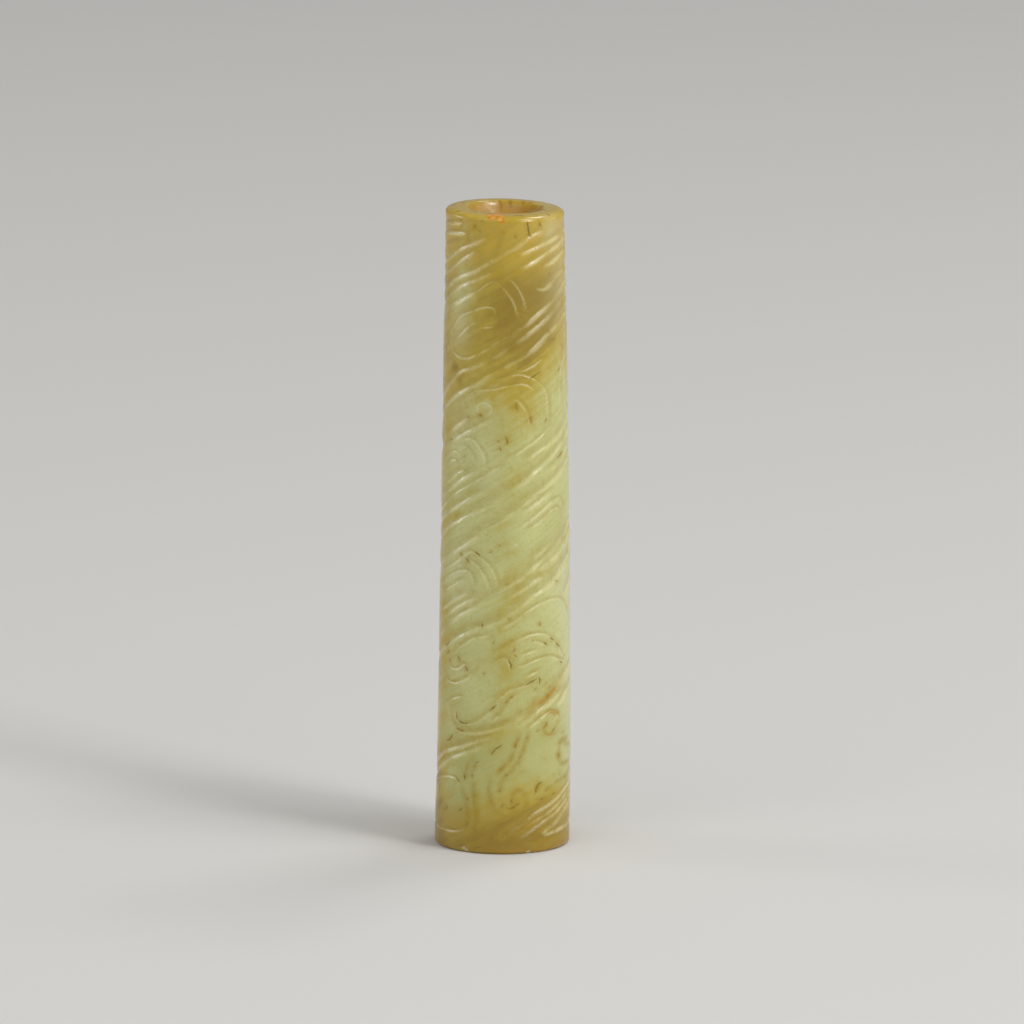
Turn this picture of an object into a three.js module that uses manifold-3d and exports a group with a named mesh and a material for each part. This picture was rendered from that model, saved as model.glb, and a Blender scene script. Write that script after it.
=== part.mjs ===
// Carved jade tube bead, one piece of drilled stone. It stands on its foot at Z = 0, is a little
// thicker there than at its top, and is strung on a cord through the bore along its Z axis.
// Twisted rope grooves wind up the wall to the right, with scrolls in the fields between them.
// Lengths are millimetres and +Z is up. Turns are degrees round the bead, seen from above:
// 0 is the front, on the -Y side, and +90 is the +X side.
import * as THREE from 'three';
import { mergeVertices } from 'three/addons/utils/BufferGeometryUtils.js';
import Module from 'manifold-3d';

// Wall
const WALL_HEIGHT = 78;
const FOOT_DIAMETER = 16.31;
const TOP_DIAMETER = 14.19;
const WALL_SWELL = 0.16;
const FOOT_EDGE_ROUND = 0.5;
const TOP_EDGE_ROUND = 0.6;

// Ends: the top is worn to a low crown round its mouth, and the foot is flat.
const CROWN_RISE = 0.3;
const MOUTH_DIAMETER = 8.6;
const MOUTH_DEPTH = 1.2;

// Bore: drilled from both ends, so it is narrowest where the drillings meet.
const BORE_DIAMETER = 6;
const BORE_FLARE = 0.3;

// Carving
const ROPE_WIDTH = 1.0;
const ROPE_DEPTH = 0.24;
const SCROLL_WIDTH = 0.62;
const SCROLL_DEPTH = 0.17;
const PATTERN_TURNS = [0, 180];
const PATTERN_HEIGHT = 78;

// Fineness of the faceted solid
const ROUND_STEPS = 32;
const WALL_STEPS = 6;
const EDGE_STEPS = 3;
const MOUTH_STEPS = 4;
const ROPE_STEP = 1.7;
const SCROLL_STEP = 1.3;

// Each line is a groove as [turn, height] points, on a pattern as tall as PATTERN_HEIGHT.
const ROPE_LINES = [
  [[-89, 75.7], [-64, 75.75], [-41, 75.7]],
  [[-89, 71.5], [-63, 73.0], [-35, 74.8], [-18, 75.9]],
  [[-89, 68.2], [-57, 70.25], [-34, 71.4], [-10, 73.2], [8, 74.5], [24, 75.7], [42, 76.4]],
  [[-89, 66.3], [-51, 69.3], [-26, 70.75], [-6, 71.7]],
  [[12, 73.6], [32, 74.4], [50, 75.05], [70, 75.6], [89, 76.1]],
  [[10, 71.6], [27, 72.65], [47, 73.8], [67, 74.5], [89, 75.1]],
  [[29, 69.7], [40, 69.2], [50, 70.05], [70, 71.1], [89, 71.5]],
  [[-89, 54.7], [-70, 56.9], [-50, 59.0], [-30, 59.95], [-12, 61.2], [10, 63.1], [33, 65.0],
    [61, 67.2], [89, 68.2]],
  [[-89, 52.6], [-69, 54.8], [-46, 56.65], [-20, 58.75], [7, 60.7], [28, 62.35], [50, 64.3],
    [70, 65.5], [89, 66.3]],
  [[-74, 49.7], [-50, 51.05], [-30, 52.5], [-9, 53.8]],
  [[-89, 37.4], [-54, 40.5], [-31, 42.1], [-12, 43.55], [7, 45.35], [28, 47.1], [46, 48.75],
    [70, 50.4], [89, 52.5]],
  [[-89, 33.9], [-60, 36.4], [-30, 38.95], [0, 41.85], [29, 44.4], [60, 46.7], [89, 48.7]],
  [[-84, 25.9], [-54, 28.4], [-30, 30.35], [-1, 33.05], [25, 35.4], [60, 38.3], [89, 40.7]],
  [[-89, 23.0], [-50, 26.3], [-30, 27.8], [-8, 28.9], [20, 31.55], [48, 33.65], [70, 35.6],
    [89, 37.4]],
  [[-55, 17.4], [-52, 16.0], [-46, 15.2], [-30, 15.0], [-10, 15.6], [12, 17.0], [40, 19.45],
    [70, 21.9], [89, 23.0]],
  [[-89, 8.4], [-58, 11.2], [-30, 12.9], [-12, 14.2]],
  [[-5, 1.7], [6, 3.1], [27, 5.0], [51, 6.4], [72, 7.6], [89, 8.4]],
  [[14, 2.2], [28, 3.3], [50, 4.7], [86, 6.8]],
];

const SCROLL_LINES = [
  [[-80, 65.7], [-50, 67.6], [-31, 68.85], [-16, 70.2], [-10, 70.35], [-3, 69.75], [3, 68.95],
    [11, 67.1], [14, 65.5]],
  [[-8, 66.6], [-13, 67.2], [-26, 66.95], [-46, 65.8], [-56, 64.7], [-60, 63.2], [-59, 61.9],
    [-55, 61.0], [-46, 60.65], [-29, 61.3], [-10, 62.85], [8, 64.35], [35, 66.6], [65, 69.0],
    [89, 70.1]],
  [[-12, 58.3], [12, 59.05], [25, 58.55], [36, 57.5], [42.5, 56.2], [48.5, 54.3], [45.5, 52.4],
    [36, 51.45], [18, 50.05], [2, 48.8], [-13, 47.25], [-35, 45.3], [-65, 42.8], [-89, 40.8]],
  [[12, 40.3], [30, 41.8], [45, 43.05], [52, 43.4], [58, 43.3], [63, 42.6], [65, 41.2]],
  [[-43, 36.1], [-38, 36.8], [-31, 37.15], [-23, 36.6], [-16, 35.95], [-8, 34.2], [-6, 32.8]],
  [[-14, 24.5], [2, 25.9], [14, 26.7], [29, 27.1], [44, 26.5], [55.5, 25.0], [63, 23.6]],
  [[-78, 8.2], [-60, 8.95], [-46, 9.0], [-38, 7.7], [-32.5, 5.4], [-33, 3.3], [-45, 2.5],
    [-75, 2.4]],
  [[-11.5, 9.5], [-12.5, 8.0], [-9.5, 6.1], [0, 4.75], [8, 4.75], [15, 5.2], [21, 7.0]],
];

const wasm = await Module();
wasm.setup();

// Outer radius of the plain wall at a height above the foot.
function wallRadius(height) {
  const share = height / WALL_HEIGHT;
  const straight = THREE.MathUtils.lerp(FOOT_DIAMETER / 2, TOP_DIAMETER / 2, share);
  return straight + WALL_SWELL * 4 * share * (1 - share);
}

// Points of a quarter of an ellipse from angle 'from' to 'to', both ends included.
function arc(centreRadius, centreHeight, acrossRadius, upRadius, from, to, steps) {
  const curve = new THREE.EllipseCurve(centreRadius, centreHeight, acrossRadius, upRadius, from, to, to < from);
  return curve.getPoints(steps);
}

// The closed half section of the drilled tube, as (radius, height) points.
function tubeSection() {
  const quarter = Math.PI / 2;
  const boreEnd = BORE_DIAMETER / 2 + BORE_FLARE;
  const mouth = MOUTH_DIAMETER / 2;
  const flare = mouth - boreEnd;
  const length = WALL_HEIGHT + CROWN_RISE;
  const wallTop = WALL_HEIGHT - TOP_EDGE_ROUND;
  const wallSpan = wallTop - FOOT_EDGE_ROUND;
  const footEdge = wallRadius(FOOT_EDGE_ROUND) - FOOT_EDGE_ROUND;
  const topEdge = wallRadius(wallTop) - TOP_EDGE_ROUND;
  const points = arc(footEdge, FOOT_EDGE_ROUND, FOOT_EDGE_ROUND, FOOT_EDGE_ROUND, -quarter, 0, EDGE_STEPS);
  for (let step = 1; step < WALL_STEPS; step += 1) {
    const height = FOOT_EDGE_ROUND + (wallSpan * step) / WALL_STEPS;
    points.push(new THREE.Vector2(wallRadius(height), height));
  }
  points.push(...arc(topEdge, wallTop, TOP_EDGE_ROUND, TOP_EDGE_ROUND, 0, quarter, EDGE_STEPS));
  points.push(...arc(mouth, length - MOUTH_DEPTH, flare, MOUTH_DEPTH, quarter, 2 * quarter, MOUTH_STEPS));
  points.push(new THREE.Vector2(BORE_DIAMETER / 2, length / 2));
  points.push(...arc(mouth, MOUTH_DEPTH, flare, MOUTH_DEPTH, 2 * quarter, 3 * quarter, MOUTH_STEPS));
  points.push(points[0].clone());
  return points;
}

// A line carved on the wall, as a curve that follows the wall and keeps its frames square to it.
class WallLine extends THREE.Curve {
  constructor(line, turn) {
    super();
    this.unrolled = new THREE.SplineCurve(line.map(([lineTurn, lineHeight]) => new THREE.Vector2(
      THREE.MathUtils.degToRad(lineTurn + turn),
      (lineHeight / PATTERN_HEIGHT) * WALL_HEIGHT,
    )));
    this.endRise = 0;
    this.endShare = 1;
  }

  // Both ends come out of the stone by 'rise', within 'share' of the line.
  riseAtEnds(rise, share) {
    this.endRise = rise;
    this.endShare = share;
  }

  outward(share) {
    const turn = this.unrolled.getPoint(share).x;
    return new THREE.Vector3(Math.sin(turn), -Math.cos(turn), 0);
  }

  getPoint(share) {
    const height = this.unrolled.getPoint(share).y;
    const nearEnd = Math.max(0, 1 - Math.min(share, 1 - share) / this.endShare);
    return this.outward(share).multiplyScalar(wallRadius(height) + this.endRise * nearEnd).setZ(height);
  }

  computeFrenetFrames(steps) {
    const frames = { tangents: [], normals: [], binormals: [] };
    for (let step = 0; step <= steps; step += 1) {
      const share = this.getUtoTmapping(step / steps);
      const tangent = this.getTangent(share);
      const outward = this.outward(share);
      frames.tangents.push(tangent);
      frames.normals.push(outward);
      frames.binormals.push(new THREE.Vector3().crossVectors(tangent, outward).normalize());
    }
    return frames;
  }
}

// The carver's wheel drawn along a line: a V as deep as the groove below the wall, which goes on
// as high above it and is twice as wide there.
function cutter(line, turn, width, depth, stepLength) {
  const path = new WallLine(line, turn);
  const steps = Math.ceil(path.getLength() / stepLength);
  path.riseAtEnds(depth, 1 / steps);
  const wheel = new THREE.Shape([
    new THREE.Vector2(-depth, 0),
    new THREE.Vector2(depth, width),
    new THREE.Vector2(depth, -width),
  ]);
  return new THREE.ExtrudeGeometry(wheel, { steps, extrudePath: path });
}

// A closed geometry as a solid that can be cut.
function solid(geometry) {
  geometry.deleteAttribute('normal');
  geometry.deleteAttribute('uv');
  const merged = mergeVertices(geometry, 1e-4);
  return new wasm.Manifold(new wasm.Mesh({
    numProp: 3,
    vertProperties: new Float32Array(merged.attributes.position.array),
    triVerts: new Uint32Array(merged.index.array),
  }));
}

// A finished solid as a geometry with flat-shaded normals.
function geometryOf(body) {
  const mesh = body.getMesh();
  const geometry = new THREE.BufferGeometry();
  geometry.setAttribute('position', new THREE.BufferAttribute(mesh.vertProperties, 3));
  geometry.setIndex(new THREE.BufferAttribute(mesh.triVerts, 1));
  geometry.computeVertexNormals();
  return geometry;
}

function carvedTube() {
  let body = solid(new THREE.LatheGeometry(tubeSection(), ROUND_STEPS).rotateX(Math.PI / 2));
  for (const turn of PATTERN_TURNS) {
    for (const line of ROPE_LINES) {
      body = body.subtract(solid(cutter(line, turn, ROPE_WIDTH, ROPE_DEPTH, ROPE_STEP)));
    }
    for (const line of SCROLL_LINES) {
      body = body.subtract(solid(cutter(line, turn, SCROLL_WIDTH, SCROLL_DEPTH, SCROLL_STEP)));
    }
  }
  return geometryOf(body);
}

const polishedJade = new THREE.MeshStandardMaterial({ color: 0xb5ae6d, roughness: 0.3, metalness: 0 });
const jadeTube = new THREE.Mesh(carvedTube(), polishedJade);
jadeTube.name = 'jade_tube';

const bead = new THREE.Group();
bead.add(jadeTube);

export default bead;
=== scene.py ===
"""Carved jade tube bead, standing on its foot on a pale floor.

The bead is one piece of drilled stone. Its body is spun from a half section, and then its wall is
carved: rope grooves wind up it to the right, and scrolls fill the fields between the ropes.
The bead's sizes are millimetres until they go into its mesh. Its glow and polish, the lamps, the floor
and the camera are in metres. A turn is an angle in degrees round the bead, seen from above: 0 is the
front, on the -Y side, and +90 is the +X side. Heights are above the foot.
"""
import math
from collections import namedtuple

import bmesh
import bpy
import numpy as np
from mathutils import Matrix, Vector


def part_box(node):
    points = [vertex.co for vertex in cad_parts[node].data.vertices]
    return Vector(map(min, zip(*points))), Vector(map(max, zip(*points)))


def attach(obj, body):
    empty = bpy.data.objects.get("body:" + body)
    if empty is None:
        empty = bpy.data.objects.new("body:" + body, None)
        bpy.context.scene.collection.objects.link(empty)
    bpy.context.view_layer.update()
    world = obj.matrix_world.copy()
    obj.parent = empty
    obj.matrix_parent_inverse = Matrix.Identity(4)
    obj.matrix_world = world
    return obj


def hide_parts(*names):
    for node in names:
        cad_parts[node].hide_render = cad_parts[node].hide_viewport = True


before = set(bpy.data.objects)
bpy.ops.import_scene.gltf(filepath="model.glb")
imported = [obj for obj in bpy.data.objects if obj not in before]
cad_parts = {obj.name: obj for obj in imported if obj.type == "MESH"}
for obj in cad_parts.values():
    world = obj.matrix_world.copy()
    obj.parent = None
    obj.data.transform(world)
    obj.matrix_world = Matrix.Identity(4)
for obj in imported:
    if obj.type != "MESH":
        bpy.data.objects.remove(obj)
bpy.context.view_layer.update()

# Body of the bead, from the frame's box. Its ends are a little fuller than the plain tube's.
MM = 0.001
_, box_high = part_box("jade_tube")
CAD_CROWN = 0.3
END_FULLNESS = 0.05
WALL_TAPER = 1.04
WALL_HEIGHT = box_high.z / MM - CAD_CROWN
FOOT_RADIUS = box_high.x / MM + END_FULLNESS
TOP_RADIUS = FOOT_RADIUS - WALL_TAPER
WALL_SWELL = 0.12
# The wall isn't quite straight: its middle bows to the right, and its foot steps out to the left
WALL_BOW = 0.14
FOOT_LEAN = 0.13
FOOT_LEAN_START = 14
# Rounded edges of the foot and the top, and the low crest of the top's ring
FOOT_EDGE_ROUND = 0.5
TOP_EDGE_ROUND = 0.6
TOP_EDGE_SHOULDER = 0.9
CREST_RADIUS = 4.8
CREST_RISE = 0.06
# Each mouth's lip bends down in arcs, as (slope at its end, radius), and runs on as a cone to the bore
MOUTH_ARCS = [(44, 0.22), (64, 2.4)]
BORE_END_RADIUS = 3.1
BORE_MIDDLE_RADIUS = 3.0
# The top isn't cut quite square: it rises a little to the left
TOP_LIFT = 0.10
TOP_TILT = 0.022
TOP_LIFT_START = 73

# Fineness of the spun mesh. Its columns stand closer together at the front.
ROUND_STEPS = 172
FRONT_FINENESS = 0.35
WALL_ROWS = 530
EDGE_ROWS = 5
CROWN_ROWS = 8
MOUTH_ARC_ROWS = 4
MOUTH_CONE_ROWS = 2
BORE_ROWS = 10
MERGE_GAP = 1e-6

# Carving. A cut slopes gently down over its 'upper' width and ends in a steep lip over its 'lower' width,
# which faces the light. The lip is nearly straight where 'bend' is 1 and rounded over where it is 2.
# The cut's line is evened out over the 'steady' length and rises to the surface over the 'taper' length.
# A tan 'stain' lies in the cut. Just below it, on the lip that faces the light, pale cream is painted over
# the
# 'ground' width as a painted highlight: by 'middle_pale' in the middle of the front and back, and by
# 'side_pale' towards the sides, where the lamps catch the lips.
Cut = namedtuple("Cut", "upper lower depth bend steady taper stain middle_pale side_pale ground")
ROPE_CUT = Cut(upper=1.00, lower=0.85, depth=0.20, bend=2.0, steady=1.8, taper=1.8,
               stain=0.9, middle_pale=0.55, side_pale=0.85, ground=0.28)
STRAND_CUT = Cut(upper=0.60, lower=0.46, depth=0.18, bend=1.6, steady=1.0, taper=1.4,
                 stain=1.3, middle_pale=0.6, side_pale=1.1, ground=0.28)
SCROLL_CUT = Cut(upper=0.50, lower=0.28, depth=0.11, bend=1.3, steady=0.7, taper=1.2,
                 stain=0.9, middle_pale=0.72, side_pale=0.9, ground=0.15)
EYE_CUT = Cut(upper=0.34, lower=0.20, depth=0.08, bend=1.3, steady=0.3, taper=0.6,
              stain=0.9, middle_pale=0.7, side_pale=0.7, ground=0.12)
FAINT_CUT = Cut(upper=0.60, lower=0.40, depth=0.045, bend=1.3, steady=0.9, taper=1.0,
                stain=0.6, middle_pale=0.3, side_pale=0.3, ground=0.20)
UPPER_BEND = 1.8
LIGHT_SIDE = (0.33, 0.944)
LIP_ROUND = 0.08
LEAST_GAP = 1e-6
PALE_SIDES = (0.08, 0.5)
STAIN_RISE = 0.35
STAIN_REACH = 0.42
VEIN_REACH = 0.50
# How hard the tool presses: at a line's first touch, and as it sways along the line
FIRST_PRESS = 0.2
PRESS_SWAY = 0.14
HAND_SWAY = 1.6
LINE_STEP = 0.12
ARC_PER_DEGREE = math.radians(1) * (FOOT_RADIUS + TOP_RADIUS) / 2
# The back repeats the front, with wider cuts because its mesh is coarser. Lines run on past the seam.
PATTERN_TURNS = (0, 180)
PATTERN_WIDTHS = (1.0, 1.5)
SEAM_TURN = 86
# Where the carving ends: outside the top's ring, clear of both edges, and shallower at the sides
RING_WIDTH = 1.2
FOOT_EDGE_FADE = (-0.1, 0.2)
TOP_EDGE_FADE = 0.6
SIDE_SHALLOW = 0.2
SIDE_SHALLOW_START = 0.94

# Each carved line is a row of (turn, height) points
ROPE_LINES = [
    # Under the top edge
    [(-90, 71.5), (-63, 73), (-50, 73.9), (-35, 74.75), (-24, 75.5), (-18, 75.9)],
    [(-90, 70.1), (-73, 70.85), (-57, 72), (-46, 72.85), (-33, 73.8), (-27, 74.2)],
    [(-90, 68.2), (-72, 69.05), (-57, 70.25), (-46, 70.75), (-34, 71.4), (-20, 72.5), (-10, 73.2),
     (1, 74.1), (8, 74.5), (19, 75.5), (33, 76.15), (42, 76.5)],
    [(-90, 66.3), (-65, 68.4), (-51, 69.3), (-40, 69.95), (-26, 70.75), (-16, 71.4), (-6, 71.7)],
    [(-90, 65), (-75, 66.05), (-63, 66.9), (-50, 67.6), (-40, 68.35), (-31, 68.9), (-24, 69.5)],
    [(12, 73.6), (20, 74), (32, 74.4), (40, 74.75), (50, 75.05), (61, 75.45), (70, 75.7), (90, 76.7)],
    [(10, 71.6), (19, 72.3), (27, 72.65), (36, 73.2), (47, 73.8), (58, 74.2), (67, 74.5), (90, 75.7)],
    [(38, 72), (50, 72.4), (64, 73), (72, 73.3), (90, 73.9)],
    [(29, 69.7), (34, 69.3), (40, 69.2), (48, 70), (60, 70.75), (70, 71.1), (90, 71.5)],
    # Second rope
    [(-8, 63), (-1, 63.55), (8, 64.35), (19, 65.2), (25, 65.8), (35, 66.6),
     (45, 67.4), (55, 68.2), (65, 69), (75, 69.6), (90, 70.1)],
    [(-90, 54.6), (-70, 56.9), (-60, 57.9), (-50, 59), (-40, 59.4), (-30, 59.95), (-21, 60.6),
     (-12, 61.2), (-1, 62.2), (10, 63.1), (21, 64.1), (33, 65), (40, 65.6), (50, 66.4),
     (61, 67.2), (70, 67.7), (90, 68.2)],
    [(-90, 52.6), (-80, 53.9), (-69, 54.8), (-60, 55.65), (-46, 56.65), (-40, 57.1), (-32, 57.6),
     (-20, 58.75), (-8, 59.65), (-1, 60.15), (7, 60.7), (14, 61.1), (21, 61.75), (28, 62.35),
     (38, 63.45), (50, 64.3), (60, 64.95), (70, 65.5), (90, 66.3)],
    # Short strands on the left, beside the middle scrolls
    [(-66, 51.3), (-58, 51.9), (-50, 52.5), (-43, 53.15), (-36.5, 53.75)],
    [(-90, 48.8), (-74, 49.7), (-60, 50.4), (-50, 51.05), (-40, 51.8), (-30, 52.5), (-23, 53.05),
     (-16, 53.5), (-9, 53.8)],
    [(-70, 45.1), (-60, 45.75), (-46, 46.85), (-40, 47.2)],
    [(-75, 43.6), (-65, 44.2), (-57, 44.85), (-50, 45.6), (-40, 46.3), (-32, 46.95), (-24, 47.5)],
    [(-90, 39.5), (-75, 40.8), (-60, 41.9), (-50, 42.6), (-37, 43.6), (-28, 44.3), (-18, 45)],
    # Third rope
    [(-90, 37.4), (-70, 39.3), (-54, 40.5), (-46, 40.95), (-39, 41.5), (-31, 42.1), (-20, 42.8),
     (-12, 43.55), (-1, 44.75), (7, 45.35), (16, 46), (22, 46.75), (28, 47.1), (33, 47.65),
     (40, 48.15), (46, 48.75), (60, 49.75), (70, 50.4), (90, 52.6)],
    [(-90, 33.9), (-75, 35.4), (-60, 36.4), (-50, 37.2), (-40, 38), (-30, 38.95), (-20, 39.95),
     (-10, 40.85), (0, 41.85), (9, 42.55), (19, 43.5), (29, 44.4), (38, 45.1), (50, 45.95),
     (60, 46.7), (70, 47.35), (90, 48.8)],
    [(16, 48.4), (28, 49.35), (40, 50.1), (52, 50.8), (64, 51.6), (76, 52.9), (90, 54.6)],
    [(40, 46.9), (50, 47.5), (58, 48.15), (66, 48.95), (76, 49.7)],
    [(12, 42), (19, 42.5), (28, 43.15), (38, 43.9), (46, 44.5)],
    # Fourth rope
    [(-84, 25.9), (-70, 27), (-54, 28.4), (-46, 29.2), (-38, 29.75), (-30, 30.35), (-20, 31.35),
     (-10, 32.25), (-1, 33.05), (10, 33.95), (18, 34.7), (25, 35.4), (33, 36), (40, 36.6),
     (50, 37.5), (60, 38.3), (70, 39.1), (90, 40.8)],
    [(24, 36.3), (36, 37.4), (46, 38.2)],
    [(28, 34.9), (40, 35.7), (50, 36.5), (60, 37.3), (70, 38), (90, 39.5)],
    [(0, 31.6), (12, 32.6), (24, 33.6), (36, 34.4)],
    [(-90, 23), (-60, 25.5), (-50, 26.3), (-40, 27), (-30, 27.8), (-20, 28.2), (-8, 28.9),
     (2, 29.8), (10, 30.5), (20, 31.55), (27, 32.05), (33, 32.45), (40, 32.85), (48, 33.65),
     (60, 34.75), (70, 35.6), (90, 37.4)],
    [(-75, 29.4), (-60, 30.4), (-50, 31.15), (-40, 31.9), (-33, 32.4)],
    [(-70, 28.5), (-50, 30.05), (-40, 30.85), (-30, 31.6), (-21, 32.6)],
    [(62, 31.2), (70, 31.9), (80, 32.7), (90, 33.9)],
    # Fifth rope, hooked at its left end
    [(-55.5, 18.2), (-55, 17), (-52.5, 16), (-48, 15.3), (-40, 14.95), (-30, 15), (-22, 15.1),
     (-10, 15.6), (3, 16.3), (12, 17), (20, 17.6), (28, 18.4), (33, 18.95), (40, 19.45),
     (48, 20.2), (60, 21.2), (70, 21.9), (90, 23)],
    [(10, 15.9), (22, 17.05), (29, 17.7), (37, 18.2), (48, 18.9), (60, 19.6)],
    [(50, 17.9), (60, 18.6), (70, 19.4), (86, 20.5)],
    [(-90, 8.4), (-70, 10.2), (-58, 11.2), (-50, 11.7), (-40, 12.3), (-30, 12.9), (-21, 13.5), (-12, 14.2)],
    [(-90, 9.9), (-60, 12.3), (-45, 12.9), (-30, 13.8), (-20, 14.3), (-8, 14.9)],
]

STRAND_LINES = [
    # Notches under the top edge
    [(-90, 76.6), (-66, 76.9), (-47, 77.05)],
    [(-90, 75.35), (-66, 75.7), (-41, 75.95)],
    # Fan at the foot
    [(-5, 1.7), (0, 2.3), (6, 3.1), (16, 4), (27, 5), (39, 5.75), (51, 6.4), (63, 7.2),
     (72, 7.6), (90, 8.4)],
    [(22, 3.6), (32, 4.4), (44, 5.1), (58, 5.95), (72, 6.8), (88, 7.6)],
    [(14, 2.2), (20, 2.65), (28, 3.3), (39, 4.15), (50, 4.7), (59, 5.25), (70, 5.95), (88, 7)],
    [(34, 2.5), (42, 2.9), (50, 3.5), (60, 4.4), (70, 5.1), (88, 6.2)],
    [(36, 2.3), (48, 2.45), (60, 2.65), (74, 2.8), (90, 2.7)],
]

SCROLL_LINES = [
    # Upper field, with the hook that the second rope starts from
    [(-7, 66.2), (-8.5, 66.75), (-13, 67.2), (-19, 67.2), (-26, 66.95), (-35, 66.5), (-46, 65.8),
     (-56, 64.6), (-60, 63.4), (-60, 62.2), (-56.5, 61.2), (-46, 60.65), (-37, 60.8), (-29, 61.3),
     (-19, 62), (-10, 62.85), (-1, 63.55), (8, 64.35)],
    [(-80, 65.7), (-63, 66.9), (-50, 67.6), (-40, 68.4), (-31, 68.85), (-23, 69.6), (-16, 70.2),
     (-10, 70.35), (-3, 69.75), (3, 68.95), (7.5, 68.1), (11, 67.1), (12.5, 66.3), (14, 65.5)],
    [(2, 70.8), (9.5, 70.1), (14.2, 69.3), (17.7, 68.4), (20, 67.5), (21, 66.8)],
    [(-23, 64.65), (-15, 64.8), (-7, 64.95)],
    [(-52, 63), (-45, 63.8), (-35, 64.9), (-28, 65.5)],
    # Second field: the long S, its inner curls and the ring
    [(-12, 58.3), (1, 58.75), (12, 59.05), (19, 58.85), (25, 58.55), (31, 58.05), (36, 57.5),
     (39.5, 57), (42, 56.2), (43.8, 55.2), (44.4, 54.2), (44, 53.2), (42.5, 52.4), (39, 51.75),
     (36, 51.45), (30, 51), (24, 50.45), (18, 50.05), (10, 49.4), (2, 48.8), (-6, 47.75),
     (-13, 47.25), (-26, 46.1), (-35, 45.3), (-46, 44.45), (-58, 43.55), (-65, 42.8), (-90, 40.8)],
    [(-41, 54.6), (-40, 55.5), (-36, 56.3), (-29, 56.9), (-20, 57.1), (-12, 57.2), (-1, 57.6),
     (9, 57.8), (16, 57.85), (23, 57.5), (27, 57)],
    [(11, 59.25), (24, 59.85), (33, 60.5), (38, 60.9)],
    [(6.5, 56), (11, 55.9), (15, 55.4), (19, 54.7), (22, 53.9), (24, 53.1), (24.5, 52.6)],
    [(80, 61), (71, 60.5), (64, 59.5), (62.5, 57.5), (64, 56), (68, 55)],
    # Left of the third rope: nested curls
    [(-43, 50.7), (-35, 51), (-29, 50.75), (-24, 50.05), (-20, 49.2), (-17.5, 48.2), (-17, 47.5)],
    [(-45, 49.9), (-39, 50), (-34, 49.6), (-30.5, 49), (-28.5, 48.2), (-28.5, 47.4)],
    [(-72, 47.6), (-62, 48.6), (-55, 49.05), (-50, 49.1), (-45, 48.8), (-41.5, 48), (-41, 47.2)],
    [(-66, 47.2), (-60, 47.75), (-54, 48.05), (-50, 47.9), (-48, 47.4)],
    # Right of the third rope: nested loops
    [(12, 40.3), (21, 41), (30, 41.8), (38, 42.45), (45, 43.05), (51, 43.35), (57, 43.35),
     (62, 42.8), (64.5, 42), (65, 41.2)],
    [(20, 40), (28, 40.5), (38, 41.35), (45, 41.95), (51, 42.25), (56, 42.1), (59.5, 41.6), (60, 41)],
    # Left of the fourth rope: nested feathers
    [(-43, 36.1), (-38, 36.8), (-34, 37.15), (-29, 37.1), (-23, 36.6), (-16, 35.95), (-11, 35.15),
     (-8, 34.2), (-6.5, 33.4), (-6, 32.8)],
    [(-70, 34.3), (-60, 34.9), (-50, 35.55), (-44, 36.2), (-41, 36.8)],
    [(-42, 36), (-36, 36.15), (-29, 35.85), (-24, 35.45), (-19, 34.5), (-15.5, 33.6), (-13.5, 32.8),
     (-13, 32.2)],
    [(-72, 32.5), (-60, 33.6), (-50, 34.3), (-42, 34.7), (-36, 34.8), (-31, 34.3), (-28.5, 33.5),
     (-28.5, 32.7)],
    [(-70, 31.7), (-60, 32.25), (-50, 32.95), (-40, 33.7)],
    # Below the fourth rope: the long wave, the hooks and the wings
    [(-5, 27.6), (8, 28.9), (20, 30), (29, 30.6), (36, 30.9), (43, 31.1), (50, 31.1), (58, 30.9),
     (65, 30.3), (70, 29.5), (73, 28.6)],
    [(-52, 24.3), (-45, 25.2), (-38, 25.8), (-31, 26.45), (-25, 26.75), (-19, 26.9), (-13, 27.4)],
    [(-58, 22.9), (-54, 22.55), (-48, 22.4), (-42, 22.85), (-37, 23.3), (-35.5, 22.9), (-34.5, 22.4)],
    [(-66, 22.2), (-63, 21.4), (-57, 20.75), (-49, 20.65), (-41, 21.1), (-35, 21.6), (-31, 22.1)],
    [(-28, 22), (-24, 22.6), (-20, 23.3), (-17, 23.6)],
    [(-55, 18.5), (-49, 18.9), (-43, 19.15), (-37, 19.2)],
    [(-48, 17.6), (-47, 16.9), (-44.5, 16.3), (-39, 15.95), (-33, 15.95), (-26, 16.3), (-20, 16.9),
     (-14, 17.6), (-8, 18.5), (-4, 19.4), (1, 20.1), (8, 20.5), (17, 20.85), (23, 21.2), (29, 21.6)],
    [(-12, 16.3), (-5, 17.3), (1, 18.5), (6, 19.3), (12, 19.9)],
    [(-12, 23.5), (-6, 24.1), (0, 24.35), (3.5, 23.95), (5, 23.4), (6.5, 22.7)],
    [(-14, 24.5), (-6, 25.2), (2, 25.9), (8, 26.35), (14, 26.7), (21, 27), (29, 27.1), (37, 27),
     (44, 26.5), (50, 25.8), (55.5, 25), (60, 24.2), (63, 23.6)],
    [(26, 26.3), (31, 26.1), (36, 25.75), (41, 25.4)],
    [(12, 24.4), (18, 24.75), (24, 24.95), (30, 25.15)],
    [(10, 23.2), (16, 23.35), (22, 23.65), (28, 23.9), (36, 24.1), (44, 24.1), (51, 23.8), (57, 23.4),
     (63, 23.1)],
    [(18, 21.9), (24, 22.2), (32, 22.65)],
    # Below the fifth rope: eyes, stems and curls
    [(18, 15.3), (28, 16.2), (37, 17), (44, 17.35), (50, 17.15), (54, 16.5), (56, 15.7)],
    [(-78, 8.2), (-68, 8.7), (-60, 8.95), (-53, 9.05), (-46, 9), (-41.5, 8.6), (-39, 8)],
    [(-36, 3), (-38, 2.8), (-45, 2.5), (-58, 2.4), (-75, 2.4), (-90, 2.7)],
]

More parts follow.
